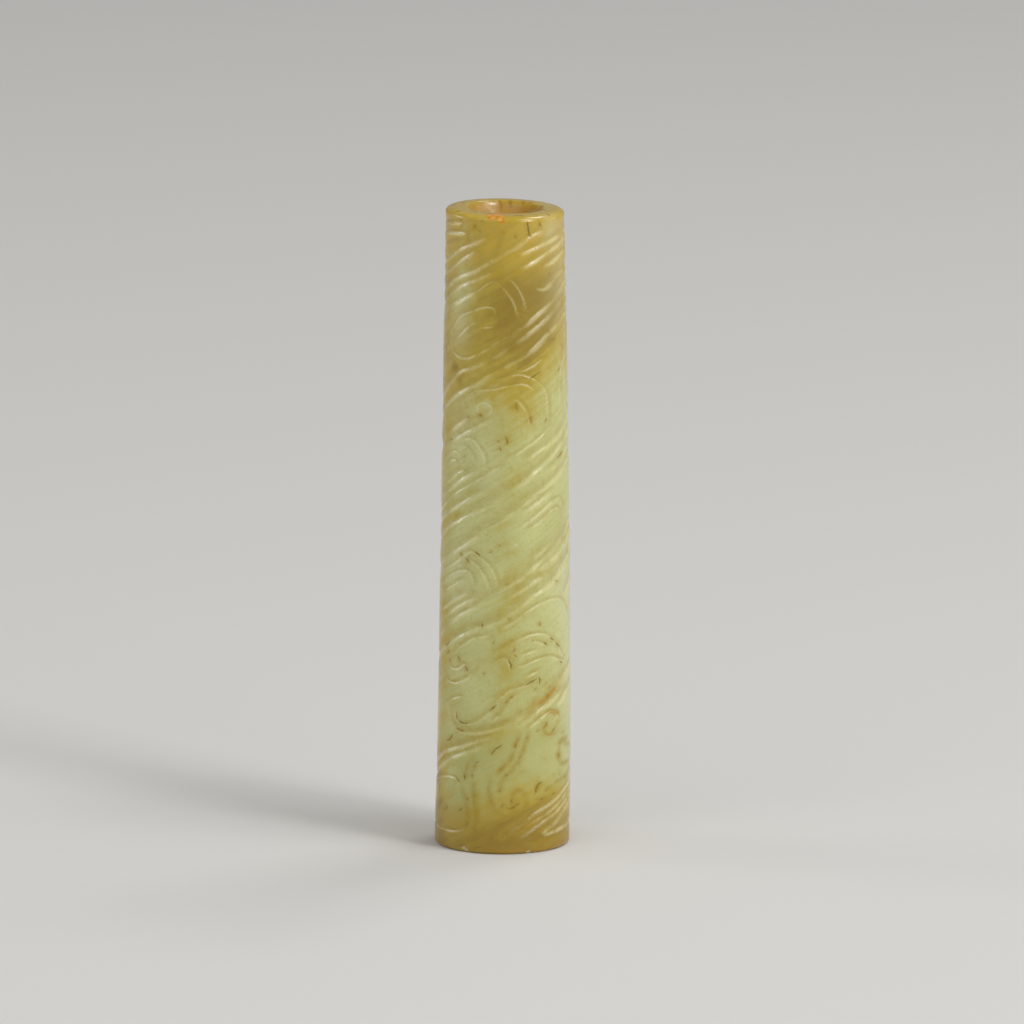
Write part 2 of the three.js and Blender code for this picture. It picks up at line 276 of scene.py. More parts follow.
# Small rings and eyes
EYE_LINES = [
    [(37.5, 15.6), (36, 15.1), (38, 14.55), (44, 14.3), (49, 14.8), (51.5, 15.5), (51, 16.3),
     (47, 16.95), (42.5, 16.95), (39.5, 16.5)],
]

# Lines that are worn almost flat and show mostly by their stain
FAINT_LINES = [
    [(-90, 73.9), (-70, 74.3), (-55, 74.8), (-44, 75.1)],
    [(-38, 76.5), (-37.5, 74.5)],
    [(-28, 9), (-27, 8), (-26, 7), (-24, 5.5), (-23, 4), (-24, 3)],
    [(-40, 8.3), (-38, 7.7), (-35, 6.6), (-32.5, 5.4), (-31.5, 4.2), (-33, 3.3), (-37, 2.9)],
    [(-75, 4), (-66, 4.5), (-60, 4.8), (-56, 5.2), (-54, 5.6)],
    [(-35.5, 9), (-35, 9.7), (-33, 10.5), (-30, 11.2), (-26, 11.8), (-22, 12.2)],
    [(-28.5, 9.2), (-27.5, 10.2), (-25.5, 10.9), (-23, 11.4)],
    [(-11.5, 9.5), (-12.5, 8.5), (-12, 7.3), (-9.5, 6.1), (-6, 5.2), (0, 4.75), (8, 4.75), (15, 5.2),
     (20, 6.1), (21, 7)],
    [(-2.5, 6.6), (0, 6), (4, 5.7), (9, 5.75), (13, 6.2), (15, 6.7)],
    [(9, 6.4), (7.5, 7), (10, 7.7), (14, 7.9), (18, 7.5), (19, 6.8)],
    [(-3.5, 7.7), (-2.5, 8.6), (1, 9.6), (5, 10.1), (9, 10.7), (13, 11.5), (15, 12.3), (18, 13.4),
     (20.5, 14.5), (23, 15.3)],
    [(-7, 9.6), (-4, 10.4), (1, 11), (5.5, 11.7), (8.5, 12.8), (10, 13.6), (13, 14.6), (16, 15.3)],
    [(28.5, 7.3), (29.5, 7.9), (31.5, 8.45), (35.5, 8.75)],
    [(27, 6.4), (33, 6.7), (39, 6.7), (43, 6.4)],
    [(38, 7.5), (52, 8.3), (66, 8.75), (80, 9.2), (90, 9.9)],
    [(75, 13.3), (66, 13.3), (59, 13.4), (55.5, 12.6), (54.5, 11.6), (56, 10.9), (61, 10.5),
     (72, 10.3), (82, 10.3)],
    [(62, 12.7), (72, 12.5), (82, 12.5)],
    [(22, 0.95), (40, 1.1), (58, 1.35), (76, 1.5)],
]

CARVING = ((ROPE_CUT, ROPE_LINES), (STRAND_CUT, STRAND_LINES), (SCROLL_CUT, SCROLL_LINES),
           (EYE_CUT, EYE_LINES), (FAINT_CUT, FAINT_LINES))

# Soil in pits and cracks, and brown stains. Each mark is a row of (turn, height) points. It is thin, the
# stone's grain gives it ragged edges, and a soft tan halo lies round it.
TOP_CRACK = [(22, 77.5), (22.6, 76.8), (23.6, 76.2), (25.2, 75.6)]
DARK_MARKS = [
    [(-60, 24), (-57, 24.5)], [(-59, 13.3), (-54, 13.6), (-50.5, 14.25)],
    [(-10.7, 12.4), (-7.5, 13), (-1.8, 13.55)], [(-46, 9), (-41.2, 8.65)],
    [(28.8, 7.5), (29.8, 8.15), (31.5, 8.5), (35.4, 8.7)], [(6.6, 5.75), (10.4, 5.95)],
    [(11, 6.2), (13.8, 6.25)], [(-24, 0.7), (-17.3, 1)], [(23.2, 58.3), (28.2, 58.7), (33.8, 59.1)],
    TOP_CRACK, [(-12.9, 17.8), (-7.3, 18.4)],
    [(-43.4, 16.1), (-38, 15.9), (-33.4, 15.95)], [(18.2, 20.8), (28.8, 21.5)],
    [(3.5, 24), (5.2, 23.5), (6, 22.9)], [(36.6, 25.9), (40.4, 25.5)], [(43.8, 26.3), (48.2, 26)],
    [(51, 25.6), (56.6, 25)], [(57, 23.2), (60.4, 22.9)], [(-13.5, 37.2), (-11.2, 37.3)],
    [(-61, 50.3), (-59, 50.35)], [(-36, 9.6), (-35, 9)], [(-24.3, 11.2), (-22.6, 11.4)],
    [(-40, 5.1), (-37.7, 5.35)], [(29, 15.05), (31.3, 15.2)], [(60.5, 14.25), (62.8, 14.4)],
    [(47.5, 6.9), (50, 7.1)], [(34.2, 6.55), (36.8, 6.65)], [(66, 8.7), (68.8, 8.6)],
    [(7, 6.5), (7.6, 6.8)], [(-0.8, 6), (0.1, 6.15)], [(-32.5, 6.7), (-31.5, 6.6)],
    [(-32.4, 3.4), (-31, 3.6)], [(51.5, 33.2), (53.4, 33.15)], [(-20.6, 28.5), (-20.3, 27.9)],
    [(-10, 26.1), (-9.2, 26.3)], [(32, 21.7), (32.1, 20.9)], [(9, 24.6), (10.6, 24.4)],
    [(-46.4, 17), (-45.2, 16.2)], [(55, 48.1), (66, 48.8)], [(-4.9, 50.1), (-3.9, 49.7)],
    [(-23, 77.5), (-21.8, 77.7)], [(35, 77.3), (37.2, 76.9)], [(-48.5, 77.3), (-46.5, 77.4)],
    [(71, 53.2), (72.5, 53.1)],
]
BROWN_MARKS = [
    [(6.4, 5.7), (10.6, 5.95)], [(11, 6.2), (13.8, 6.25)], [(7, 6.4), (7.6, 6.8)], [(-0.9, 6), (0.2, 6.2)],
    [(34, 6.55), (37, 6.65)], [(47.3, 6.9), (50.2, 7.1)], [(-32.6, 6.8), (-31.4, 6.5)],
    [(-32.5, 3.4), (-31, 3.7)], [(-40.2, 5.1), (-37.6, 5.4)], [(28.8, 7.5), (29.8, 8.15), (31.5, 8.5)],
    [(-60.7, 4.7), (-58, 4.85), (-54.6, 5.15)], [(-71, 7.5), (-70.5, 6.5)], [(-28, 9.8), (-27.4, 9.4)],
    [(-26.2, 7.2), (-24.6, 7.2)], [(-24.8, 3.2), (-24.4, 2.8)], [(-3.6, 8.1), (-3.2, 7.7)],
    [(9.2, 13.2), (10.8, 13.9)], [(13.2, 11.8), (14.4, 12.1)], [(19.4, 14.3), (20.6, 14.5)],
    [(1, 9.75), (3.7, 9.95)], [(-3, 10.4), (-1, 10.75)], [(39, 7.6), (40.2, 7.7)],
    [(36.2, 11.6), (37, 11.6)], [(15, 10.25), (15.8, 10.3)], [(56, 9.2), (57.2, 9.35)],
    [(54, 11.4), (55.6, 11.8)], [(-55.9, 23.1), (-54.8, 23.5)], [(-36.8, 22.96), (-34, 22.4)],
    [(-45.7, 24.1), (-41.2, 23.4)], [(-18.8, 22.3), (-17, 22.3)], [(-47, 15.2), (-42, 14.95), (-37, 14.9)],
    [(1.4, 18.7), (3, 19.1)], [(5.4, 19.3), (7, 19.6)], [(37, 15.4), (40.7, 16)],
    [(46, 14.7), (50.4, 15.2)], [(38.3, 20.9), (39.4, 20.8)], [(42.6, 20.3), (43.8, 20.3)],
    [(27.2, 20.2), (28.2, 20.4)], [(7.6, 25.1), (8.8, 25.4)], [(24.8, 26.3), (26, 26.3)],
    [(31.8, 28.5), (32.3, 28)], [(2.8, 29.05), (4.4, 29.15)], [(-64.6, 24.8), (-61, 25.2), (-57.9, 25.5)],
    [(-28.4, 37.1), (-25.5, 36.95), (-22.9, 36.6)], [(-37.3, 36.1), (-33, 35.8)],
    [(-44, 36.7), (-41.7, 36.5)], [(-5.2, 38.1), (-4, 38.1)], [(1.4, 33.3), (2.8, 33.35)],
    [(-37, 53.5), (-35.8, 53.5)], [(-25.5, 54.1), (-23.5, 53.9), (-20.5, 53.8)],
    [(9.6, 55.5), (10.2, 55.2), (10.8, 54.6)], [(23.4, 53.7), (24, 52.9)], [(39, 52.9), (40.8, 53.3)],
    [(-7, 50.9), (-5.4, 50.7)], [(0.4, 51.4), (1.6, 51), (2.1, 50.5)], [(-40.2, 48.75), (-39, 48.6)],
    [(-40.2, 47.05), (-39, 46.95)], [(58.6, 59.2), (60, 58.8)], [(66.4, 61.7), (67.6, 61.5)],
    [(9.8, 75.9), (11, 75.5)], [(-31, 76.9), (-29, 76.9)], [(-25.4, 76.35), (-23.8, 76.2)],
    [(-15.6, 72.5), (-14.2, 72.5)], [(-32, 77), (-29, 76.6)], [(-26, 76.4), (-23.6, 76.1)],
    [(34.5, 77.3), (36, 76.9), (37.6, 76.8)], [(9.4, 76), (10.6, 75.5)], [(46.2, 70.9), (48, 70.7)],
    [(50.6, 62.9), (53.4, 62.7)], [(45, 64), (47, 63.8)], [(64.6, 62), (66.2, 61.8)],
    [(-56.5, 59.3), (-54, 59.2), (-51.5, 59.5)], [(12, 66.9), (17, 66.5), (20, 66.4)],
    [(-47, 76.7), (-45.6, 76.5)], TOP_CRACK,
]
# Golden veins and stained lines, wider and softer than the soil
GOLDEN_REACH = 0.45
GOLDEN_MARKS = [
    [(-1.8, 76.6), (-2.2, 75.8), (-5.1, 74.9), (-7.3, 74.1), (-10.7, 73.4)],
    [(-58, 59.3), (-54, 59), (-51, 59.6)],
]
# Thin pale lines, ground bright or scratched
PALE_LINES = [
    [(-24, 54), (-26.3, 54.3), (-26.5, 54.75), (-25, 55.1), (-19.7, 55.4), (-15, 55.2), (-12.8, 54.7),
     (-13.8, 54.2), (-17, 53.9)],
    [(72, 60.2), (66, 59.3), (62, 58), (60.5, 56.4), (60.5, 54.6)],
    [(73, 58.2), (70.5, 56.2), (70.5, 54.2), (72, 52.4)],
    [(8, 38.2), (11, 38.05)],
]
# How a mark fades: along its ends, in its halo, to its side and past its ends
MARK_TAPER = 0.35
HALO_REACH = 0.65
THIN_REACH = 0.45
THIN_END = 0.15

# Tints that lie on the wall in soft patches. Each leans up to the right by 'lean' mm a degree.
Patch = namedtuple("Patch", "turn height turn_reach height_reach lean strength")
ROPE_LEAN = 0.075
ROPE_GRAIN_LENGTH = 0.15
# The tall honey patch at turn 3 also darkens the middle of the front, partly as painted shade.
HONEY_AND_SHADE_PATCHES = [Patch(*row) for row in (
    (2, 25.6, 22, 1.2, 0.085, 0.35), (0, 22.5, 8, 2.5, 0, 0.25), (8, 20.3, 20, 1, ROPE_LEAN, 0.3),
    (-18, 14.2, 18, 0.8, 0.05, 0.3), (36, 44.6, 16, 1, ROPE_LEAN, 0.25),
    (20, 31.3, 22, 1.2, ROPE_LEAN, 0.16), (3, 36, 15, 22, 0, 0.22), (22, 63.5, 20, 5, 0, 0.3),
    (40, 67, 26, 6, 0, 0.55), (-45, 5, 24, 6, 0, -0.5), (8, 66, 30, 6, 0, 0.5), (50, 68, 22, 6, 0, 0.3),
    (-48, 69, 16, 5, 0.05, -0.4), (5, 58, 25, 3, 0, 0.25), (10, 16, 24, 2.5, 0, 0.08),
    (34, 18.4, 12, 0.8, 0.085, 0.3), (0, 76.5, 18, 2.5, 0, 0.3), (18, 66.1, 9, 0.7, ROPE_LEAN, 0.8),
    (-60, 76.5, 24, 2.5, 0, -0.35), (-26, 73.5, 6, 1, 0, 0.25), (-54, 59.3, 6, 0.7, 0, 0.6),
    (-47, 57.6, 7, 0.8, ROPE_LEAN, 0.45), (10, 55, 6, 0.9, 0, 0.35), (22, 54.5, 14, 3, 0.03, 0.3),
    (9, 45.9, 18, 1.2, 0.06, 0.28), (-49.6, 41, 8, 0.45, ROPE_LEAN, 0.5),
    (-3, 40.4, 12, 0.6, ROPE_LEAN, 0.25), (-2, 33.6, 20, 0.9, 0.06, 0.25), (48, 35, 22, 0.6, 0.05, 0.45),
    (6, 30.6, 26, 1.6, 0.06, 0.18), (-70, 28, 12, 5, 0, 0.35), (0, 15.6, 28, 1, 0.07, 0.22),
    (-68, 11.2, 7, 0.9, 0, 0.6), (-24, 4.5, 3, 3.5, 0, 0.3), (-68, 7, 8, 3, 0, 0.3),
    (14, 3, 40, 3, ROPE_LEAN, 0.4), (24, 4.1, 26, 1, 0.078, 0.7),
)]
RUSSET_PATCHES = [Patch(*row) for row in (
    (41, 19.2, 15, 0.46, 0.085, 1.2), (51, 16.9, 4, 0.35, 0, 1), (45, 17.2, 5, 0.25, 0, 0.5),
    (44, 14.5, 8, 0.3, 0, 0.6), (36, 15.4, 3, 0.8, 0, 0.5), (54.9, 11.6, 3.5, 0.5, 0, 0.7),
    (60, 13.2, 8, 0.3, 0, 0.5), (64, 10.4, 9, 0.25, 0, 0.4), (60, 5.55, 18, 0.18, ROPE_LEAN, 0.5),
    (60, 4.75, 18, 0.18, ROPE_LEAN, 0.5), (56, 2.95, 22, 0.2, 0.02, 0.6), (54, 1.45, 24, 0.25, 0, 0.6),
    (15, 0.3, 50, 0.3, 0, 0.45), (20, 3.4, 22, 0.55, ROPE_LEAN, 0.5), (24, 53.5, 2.5, 0.5, 0, 0.4),
    (70, 66.8, 14, 0.6, ROPE_LEAN, 0.35), (-62, 75.95, 22, 0.22, 0.012, 0.9),
    (-66, 77, 14, 0.18, 0.012, 0.7),
)]
# Pale frost patches, which also brighten the wall as painted light where the lamps strike it: at turn -46
# down the left and on the right
FROST_AND_LIGHT_PATCHES = [Patch(*row) for row in (
    (-20, 48, 14, 6, 0, 0.18), (-46, 52, 12, 4, 0, 0.3), (-46, 34, 14, 4, 0, 0.35),
    (-48, 64, 12, 2.5, 0, 0.35), (75, 20, 18, 9, 0, 0.45), (68, 33, 22, 6, 0, 0.4),
    (-46, 69, 16, 5, 0.05, 0.25), (50, 76, 14, 2, 0, 0.35), (60, 69, 20, 6, 0, 0.25),
)]
# Chips out of the foot's edge, as (turn, height, half width, half height, depth)
CHIPS = [(-35.5, 0.50, 0.42, 0.36, 0.24), (-32.5, 0.32, 0.40, 0.26, 0.20), (23.5, 0.22, 0.42, 0.26, 0.20)]
# On the top: the orange stain's blots, as (x, y, reach across, reach back) seen from above, its drips over
# the edge, and rows of (x, y) points of soil on the ring and in the mouth
ORANGE_BLOTS = [(-1.80, -5.9, 0.70, 0.85), (-0.95, -5.7, 0.80, 0.9), (-0.30, -6.3, 0.60, 0.6)]
ORANGE_EDGES = [Patch(-12, 77.95, 6, 0.35, 0, 0.9), Patch(-5, 77.8, 5.5, 0.42, 0, 1)]
TOP_REACH = 0.30
TOP_MARKS = [
    [(-3.9, -3.5), (-3.4, -4)], [(1.2, -5.9), (2, -5.8)], [(4.2, -2), (4.9, -1.4)],
    [(2.9, -4), (3.6, -2.6), (3.9, -1.2)], [(0.6, 4.8), (0.7, 4.3)], [(2, 4.6), (2.3, 4.1)],
    [(-5.8, -3.2), (-5.5, -3.4)], [(5, -4), (5.3, -4.2)], [(-5.2, 2), (-4.8, 2.6)],
    [(-1.9, -4.9), (-1.6, -5)], [(-0.6, 4.5), (-0.5, 4.2)], [(3, 3.9), (3.2, 3.6)],
    [(-2.6, -4.3), (-2.4, -4.4)], [(4.4, 1.6), (4.6, 1)],
]

# Tones that change up the wall, as runs from one height to another and the strength that each run adds
TOP_HONEY = [(47, 66, 0.9)]
TOP_HONEY_TILT = 3
FOOT_HONEY = [(13, 0, 1.3)]
# Honey down the left side, partly painted shade that darkens that side
LEFT_HONEY_AND_SHADE = 0.55
LEFT_HONEY_RUNS = [(38, 4, 0.3), (50, 66, -0.2)]
LEFT_HONEY_TURN = -90
LEFT_HONEY_REACH = 33
TOP_TAN_RUNS = [(68, 75, 0.8)]
FOOT_TAN_RUNS = [(1.6, 0.3, 1)]
FOOT_TAN_MIDDLE = 0.6
FOOT_TAN_TILT = 0.4
FOOT_SHADE_RUNS = [(9, 1, 0.45)]
CUT_STAIN = 0.5
CUT_STAIN_RUNS = [(34, 18, 0.4), (9, 5, 0.4)]
DEEP_RUNS = [(24, 2, 1)]
# The deep tone is also painted shade: darker down the left side and in the middle of the front.
LEFT_PAINTED_SHADE = (0.78, 0.98)
MIDDLE_PAINTED_SHADE = 0.35
MIDDLE_PAINTED_SHADE_REACH = 16
HALO_STRENGTH = 0.6
VEIN_STRENGTH = 0.75
# Tones of the top and the mouth, by depth below the wall's top and by distance inside the crest
TOP_DEPTHS = (2.4, 0.4)
# Inside the crest the mouth turns honey and dark gold, darker deeper in the bore, partly as painted shade
MOUTH_HONEY_INSIDE = (0.0, 0.4)
MOUTH_INSIDE = (0.2, 0.9)
# Pink painted on the mouth's left wall as painted light, where the lamps light that wall
PINK_INSIDE = (-0.1, 0.5)
PINK_STRENGTH = 0.8
PINK_CENTRE = -1.9
PINK_REACH = 1.3

# Colours of the stone, linear
CELADON = (0.61, 0.615, 0.26, 1)
CELADON_DEEP = (0.49, 0.485, 0.165, 1)
HONEY = (0.50, 0.37, 0.03, 1)
HONEY_DEEP = (0.31, 0.20, 0.003, 1)
# Pale frost, also painted light on the wall's brightest patches, and the colour of pale scratches
FROST_AND_PAINTED_LIGHT = (0.74, 0.73, 0.46, 1)
# Cream of the painted highlight on the cuts' lips
PAINTED_HIGHLIGHT_CREAM = (0.84, 0.78, 0.43, 1)
TAN = (0.45, 0.32, 0.025, 1)
TOP_TAN = (0.60, 0.39, 0.035, 1)
# Dark gold of the mouth, partly painted shade in the bore
MOUTH_GOLD_AND_SHADE = (0.50, 0.25, 0.001, 1)
# Pink of the painted light on the mouth's left wall
PINK_PAINTED_LIGHT = (0.62, 0.42, 0.20, 1)
FOOT_TAN = (0.42, 0.25, 0.03, 1)
FOOT_SHADE = (0.30, 0.175, 0.0, 1)
SHADOW_GRAIN = (0.36, 0.31, 0.06, 1)
RUSSET = (0.42, 0.25, 0.001, 1)
VEIN_GOLD = (0.37, 0.25, 0.006, 1)
ORANGE = (0.62, 0.22, 0.002, 1)
PALE_ORANGE = (0.80, 0.44, 0.07, 1)
BROWN = (0.31, 0.18, 0.001, 1)
SOIL = (0.23, 0.155, 0.001, 1)
TOP_SOIL = (0.36, 0.19, 0.0, 1)
CHIPPED = (0.72, 0.68, 0.44, 1)
# Grains of the stone, as a noise's (grains in a metre, detail, roughness)
NOISE_MIDDLE = 0.5
CLOUD_NOISE = (150, 3, 0.5)
UNEVEN_HIGHLIGHT_NOISE = (420, 2, 0.5)
GRAIN_NOISE = (900, 4, 0.6)
FINE_NOISE = (2600, 4, 0.65)
RAGGED_NOISE = (6000, 3, 0.6)
# Grains that run along the rope
BAND_NOISE = (230, 2, 0.5)
STREAK_NOISE = (700, 3, 0.55)
FIBRE_NOISE = (2400, 3, 0.6)
# What comes of a grain or a mask, as (low value, high value, result at the low, result at the high)
BAND_RAMP = (0.36, 0.64, 0.45, 1.45)
BROKEN_RAMP = (0.3, 0.65, 0.35, 1.0)
DEEP_CLOUD_RAMP = (0.35, 0.7, 0.0, 0.6)
HONEY_CLOUD_RAMP = (0.2, 0.8, -0.16, 0.16)
HONEY_GRAIN_RAMP = (0.25, 0.75, -0.12, 0.12)
HONEY_STREAK_RAMP = (0.3, 0.7, -0.13, 0.13)
HONEY_RAMP = (0.0, 1.0, 0.0, 1.0)
HONEY_DEEP_RAMP = (0.8, 1.6, 0.0, 1.0)
UNEVEN_HIGHLIGHT_RAMP = (0.36, 0.62, 0.65, 1.15)
LIP_RAMP = (0.15, 1.0, 0.0, 0.52)
FINE_SHADOW_RAMP = (0.50, 0.78, 0.0, 0.40)
GRAIN_SHADOW_RAMP = (0.55, 0.8, 0.0, 0.22)
FIBRE_SHADOW_RAMP = (0.50, 0.75, 0.0, 0.25)
RUSSET_RAMP = (0.3, 0.65, 0.7, 1.0)
GOLDEN_RAMP = (0.2, 1.0, 0.0, 0.75)
ORANGE_RAMP = (0.3, 0.75, 0.0, 1.0)
PALE_ORANGE_RAMP = (0.55, 0.95, 0.0, 1.0)
ORANGE_FINE_RAMP = (0.45, 0.65, 0.0, 0.6)
TOP_SOIL_RAMP = (0.40, 0.85, 0.0, 0.8)
CHIP_RAMP = (0.2, 0.8, 0.0, 0.7)
ROUGHNESS_RAMP = (0.3, 0.7, 0.14, 0.26)
GLOW_RAMP = (0.0, 0.6, 0.35, 0.0)
# How far the grain frays, spreads and shifts the edges of stains and marks
FRAY = 1.1
LIP_FRAY = 0.5
GOLDEN_FRAY = 0.6
CHIP_FRAY = 1.6
ORANGE_SPREAD = 1.6
TOP_SOIL_SPREAD = 0.6
MARK_WANDER = 0.30
# Thin marks: where each fades out, as two distances from its middle, and how much of it covers the stone
PALE_EDGES = (0.04, 0.16)
PALE_SHARE = 0.42
BROWN_EDGES = (0.06, 0.23)
BROWN_SHARE = 0.85
SOIL_EDGES = (0.04, 0.15)
MOUTH_GOLD_AND_SHADE_SHARE = 0.95
# Polish of the stone, and how light goes into it
STONE_INDEX = 1.6
STONE_GLOW_DEPTH = 0.0014
STONE_GLOW_COLOUR = (1.0, 0.85, 0.35)
MOUTH_ROUGHNESS = 0.15
GROUND_BUMP = 2.0
POLISH_BUMP = 0.25
BUMP_STRENGTH = 0.55
BUMP_HEIGHT = 0.00004
# Sockets of a colour mix node: share, first colour, second colour, and the result
COLOUR_MIX_INPUTS = (0, 6, 7)
COLOUR_MIX_OUTPUT = 2

# Light: each lamp as (azimuth, elevation, width, height, brightness of a white card that faces it)
TARGET = Vector((0, 0, 0.039))
LAMP_DISTANCE = 1.2
LAMPS = {
    "key_softbox": (42, 26, 0.80, 0.75, 0.10),
    "key_spot": (49, 27, 0.26, 0.20, 0.24),
    "right_softbox": (106, 16, 0.50, 0.40, 0.03),
    "left_softbox": (-104, 12, 1.00, 0.40, 0.06),
    "left_spot": (-102, 13, 0.36, 0.22, 0.115),
    "left_fill": (-32, 42, 1.00, 1.00, 0.18),
    "top_softbox": (66, 58, 0.60, 0.40, 0.09),
    "top_spot": (62, 57, 0.32, 0.24, 0.14),
    "back_spot": (140, 54, 0.44, 0.24, 0.15),
}
FLOOR_SIZE = 6.0
FLOOR_COLOUR = (0.74, 0.73, 0.71, 1)
FLOOR_ROUGHNESS = 0.9
ROOM_COLOUR = (0.80, 0.79, 0.77, 1)
ROOM_LIGHT = 0.34

# Camera of the picture
CAMERA_ELEVATION = 11.09
CAMERA_DISTANCE = 1.581
CAMERA_ROLL = 0.17
CAMERA_REACH = 20
SENSOR = 36.0
PICTURE_WIDTH = 0.12398
TARGET_PIXEL = (504.6, 525.7)
PICTURE_PIXELS = 1024


def smooth_step(values, start, end):
    """A soft step from 0 at the start to 1 at the end."""
    share = np.clip((values - start) / (end - start), 0, 1)
    return share * share * (3 - 2 * share)


def bell(offsets, reach):
    """A soft bump: 1 in its middle, fading out with the distance from it."""
    return np.exp(-(offsets / reach) ** 2)


def belly(share):
    """A curve along the wall: 0 at both ends and 1 in the middle."""
    return 4 * share * (1 - share)


def wall_radius(height):
    """Outer radius of the uncarved wall at a height."""
    share = height / WALL_HEIGHT
    return FOOT_RADIUS - WALL_TAPER * share + WALL_SWELL * belly(share)


def arc(centre, across, up, start, end, rows):
    """Points of an elliptic arc between two angles in degrees, both ends included."""
    angles = np.radians(np.linspace(start, end, rows + 1))
    return [(centre[0] + across * math.cos(a), centre[1] + up * math.sin(a)) for a in angles]


def mouth_section():
    """A mouth of the bore as (radius, depth) points: a bent lip and a cone down to the bore."""
    points = [(CREST_RADIUS, 0.0)]
    slope = 0
    for end_slope, bend in MOUTH_ARCS:
        start_radius, start_depth = points[-1]
        for turn in np.linspace(slope, end_slope, MOUTH_ARC_ROWS + 1)[1:]:
            radius = start_radius - bend * (math.sin(math.radians(turn)) - math.sin(math.radians(slope)))
            depth = start_depth + bend * (math.cos(math.radians(slope)) - math.cos(math.radians(turn)))
            points.append((radius, depth))
        slope = end_slope
    lip_radius, lip_depth = points[-1]
    for radius in np.linspace(lip_radius, BORE_END_RADIUS, MOUTH_CONE_ROWS + 1)[1:]:
        points.append((radius, lip_depth + math.tan(math.radians(slope)) * (lip_radius - radius)))
    return points


def half_section():
    """The bead's half section as (radius, height) points, from the foot's edge up the wall,
    over the crown and down the bore."""
    wall_top = WALL_HEIGHT - TOP_EDGE_ROUND
    foot_edge = wall_radius(FOOT_EDGE_ROUND) - FOOT_EDGE_ROUND
    top_edge = wall_radius(wall_top) - TOP_EDGE_SHOULDER
    length = WALL_HEIGHT + CREST_RISE
    points = arc((foot_edge, FOOT_EDGE_ROUND), FOOT_EDGE_ROUND, FOOT_EDGE_ROUND, -90, 0, EDGE_ROWS)
    for height in np.linspace(FOOT_EDGE_ROUND, wall_top, WALL_ROWS + 1)[1:-1]:
        points.append((wall_radius(height), height))
    points += arc((top_edge, wall_top), TOP_EDGE_SHOULDER, TOP_EDGE_ROUND, 0, 90, EDGE_ROWS)
    points += arc((CREST_RADIUS, WALL_HEIGHT), top_edge - CREST_RADIUS, CREST_RISE, 0, 90, CROWN_ROWS)[1:]
    mouth = mouth_section()
    mouth_depth = mouth[-1][1]
    points += [(radius, length - depth) for radius, depth in mouth[1:]]
    for share in np.linspace(0, 1, BORE_ROWS + 1)[1:-1]:
        height = (length - mouth_depth) * (1 - share) + mouth_depth * share
        waist = 1 - abs(2 * share - 1)
        points.append((BORE_END_RADIUS + (BORE_MIDDLE_RADIUS - BORE_END_RADIUS) * waist, height))
    points += mouth[::-1]
    return points


def spun_tube():
    """The uncarved bead, spun from its half section."""
    shape = bmesh.new()
    section = [shape.verts.new((0, -radius * MM, height * MM)) for radius, height in half_section()]
    edges = [shape.edges.new(pair) for pair in zip(section, section[1:] + section[:1])]
    bmesh.ops.spin(shape, geom=section + edges, cent=(0, 0, 0), axis=(0, 0, 1), angle=2 * math.pi,
                   steps=ROUND_STEPS, use_merge=True)
    bmesh.ops.remove_doubles(shape, verts=shape.verts, dist=MERGE_GAP)
    bmesh.ops.recalc_face_normals(shape, faces=shape.faces)
    for face in shape.faces:
        face.smooth = True
    mesh = bpy.data.meshes.new("jade_bead")
    shape.to_mesh(mesh)
    shape.free()
    return mesh


def turned(turns, origin):
    """Turns measured from an origin, between -180 and 180."""
    return (turns - origin + 180) % 360 - 180


def steadied(curve, window):
    """A curve evened out over a window of samples, with its ends kept."""
    reach = window // 2
    if reach < 1 or len(curve) <= reach + 1:
        return curve
    before = 2 * curve[0] - curve[reach:0:-1]
    after = 2 * curve[-1] - curve[-2:-reach - 2:-1]
    padded = np.concatenate((before, curve, after))
    even = np.ones(2 * reach + 1) / (2 * reach + 1)
    return np.stack([np.convolve(padded[:, axis], even, "valid") for axis in (0, 1)], axis=1)


def touch_down(point, run, taper):
    """How hard the tool presses at each length from a line's end, unless the line runs on past the seam."""
    return np.ones_like(run) if abs(point[0]) > SEAM_TURN else FIRST_PRESS + run / taper


def drawn_line(points, steady, taper):
    """A line's points joined by a smooth curve, as arc lengths and heights at even steps, and how hard
    the tool pressed at each."""
    knots = np.array(points, float) * (ARC_PER_DEGREE, 1)
    spans = np.linalg.norm(np.diff(knots, axis=0), axis=1)
    along = np.concatenate(([0], np.cumsum(spans)))
    slopes = np.gradient(knots, along, axis=0)
    places = np.linspace(0, along[-1], int(along[-1] / LINE_STEP) + 2)
    first = np.clip(np.searchsorted(along, places, "right") - 1, 0, len(spans) - 1)
    span = spans[first][:, None]
    t = ((places - along[first]) / spans[first])[:, None]
    curve = ((2 * t ** 3 - 3 * t ** 2 + 1) * knots[first] + (t ** 3 - 2 * t ** 2 + t) * span * slopes[first]
             + (3 * t ** 2 - 2 * t ** 3) * knots[first + 1] + (t ** 3 - t ** 2) * span * slopes[first + 1])
    start = touch_down(points[0], places, taper)
    end = touch_down(points[-1], along[-1] - places, taper)
    sway = 1 - PRESS_SWAY + PRESS_SWAY * np.sin(places / HAND_SWAY + points[0][0])
    pressure = np.clip(np.minimum(start, end), 0, 1) * sway
    return steadied(curve, int(steady / LINE_STEP)), pressure * (2 - pressure)


def near_line(turns, heights, curve, reach):
    """Which wall points lie within reach of a curve, how far off across and up the wall, and the nearest
    sample of the curve."""
    arcs = turns * ARC_PER_DEGREE
    low, high = curve.min(axis=0) - reach, curve.max(axis=0) + reach
    inside = np.flatnonzero((arcs > low[0]) & (arcs < high[0]) & (heights > low[1]) & (heights < high[1]))
    across = arcs[inside, None] - curve[:, 0]
    up = heights[inside, None] - curve[:, 1]
    nearest = np.hypot(across, up).argmin(axis=1)
    rows = np.arange(len(inside))
    return inside, across[rows, nearest], up[rows, nearest], nearest


def raise_to(field, inside, values):
    """Raise a field to new values where it lies below them."""
    field[inside] = np.maximum(field[inside], values)


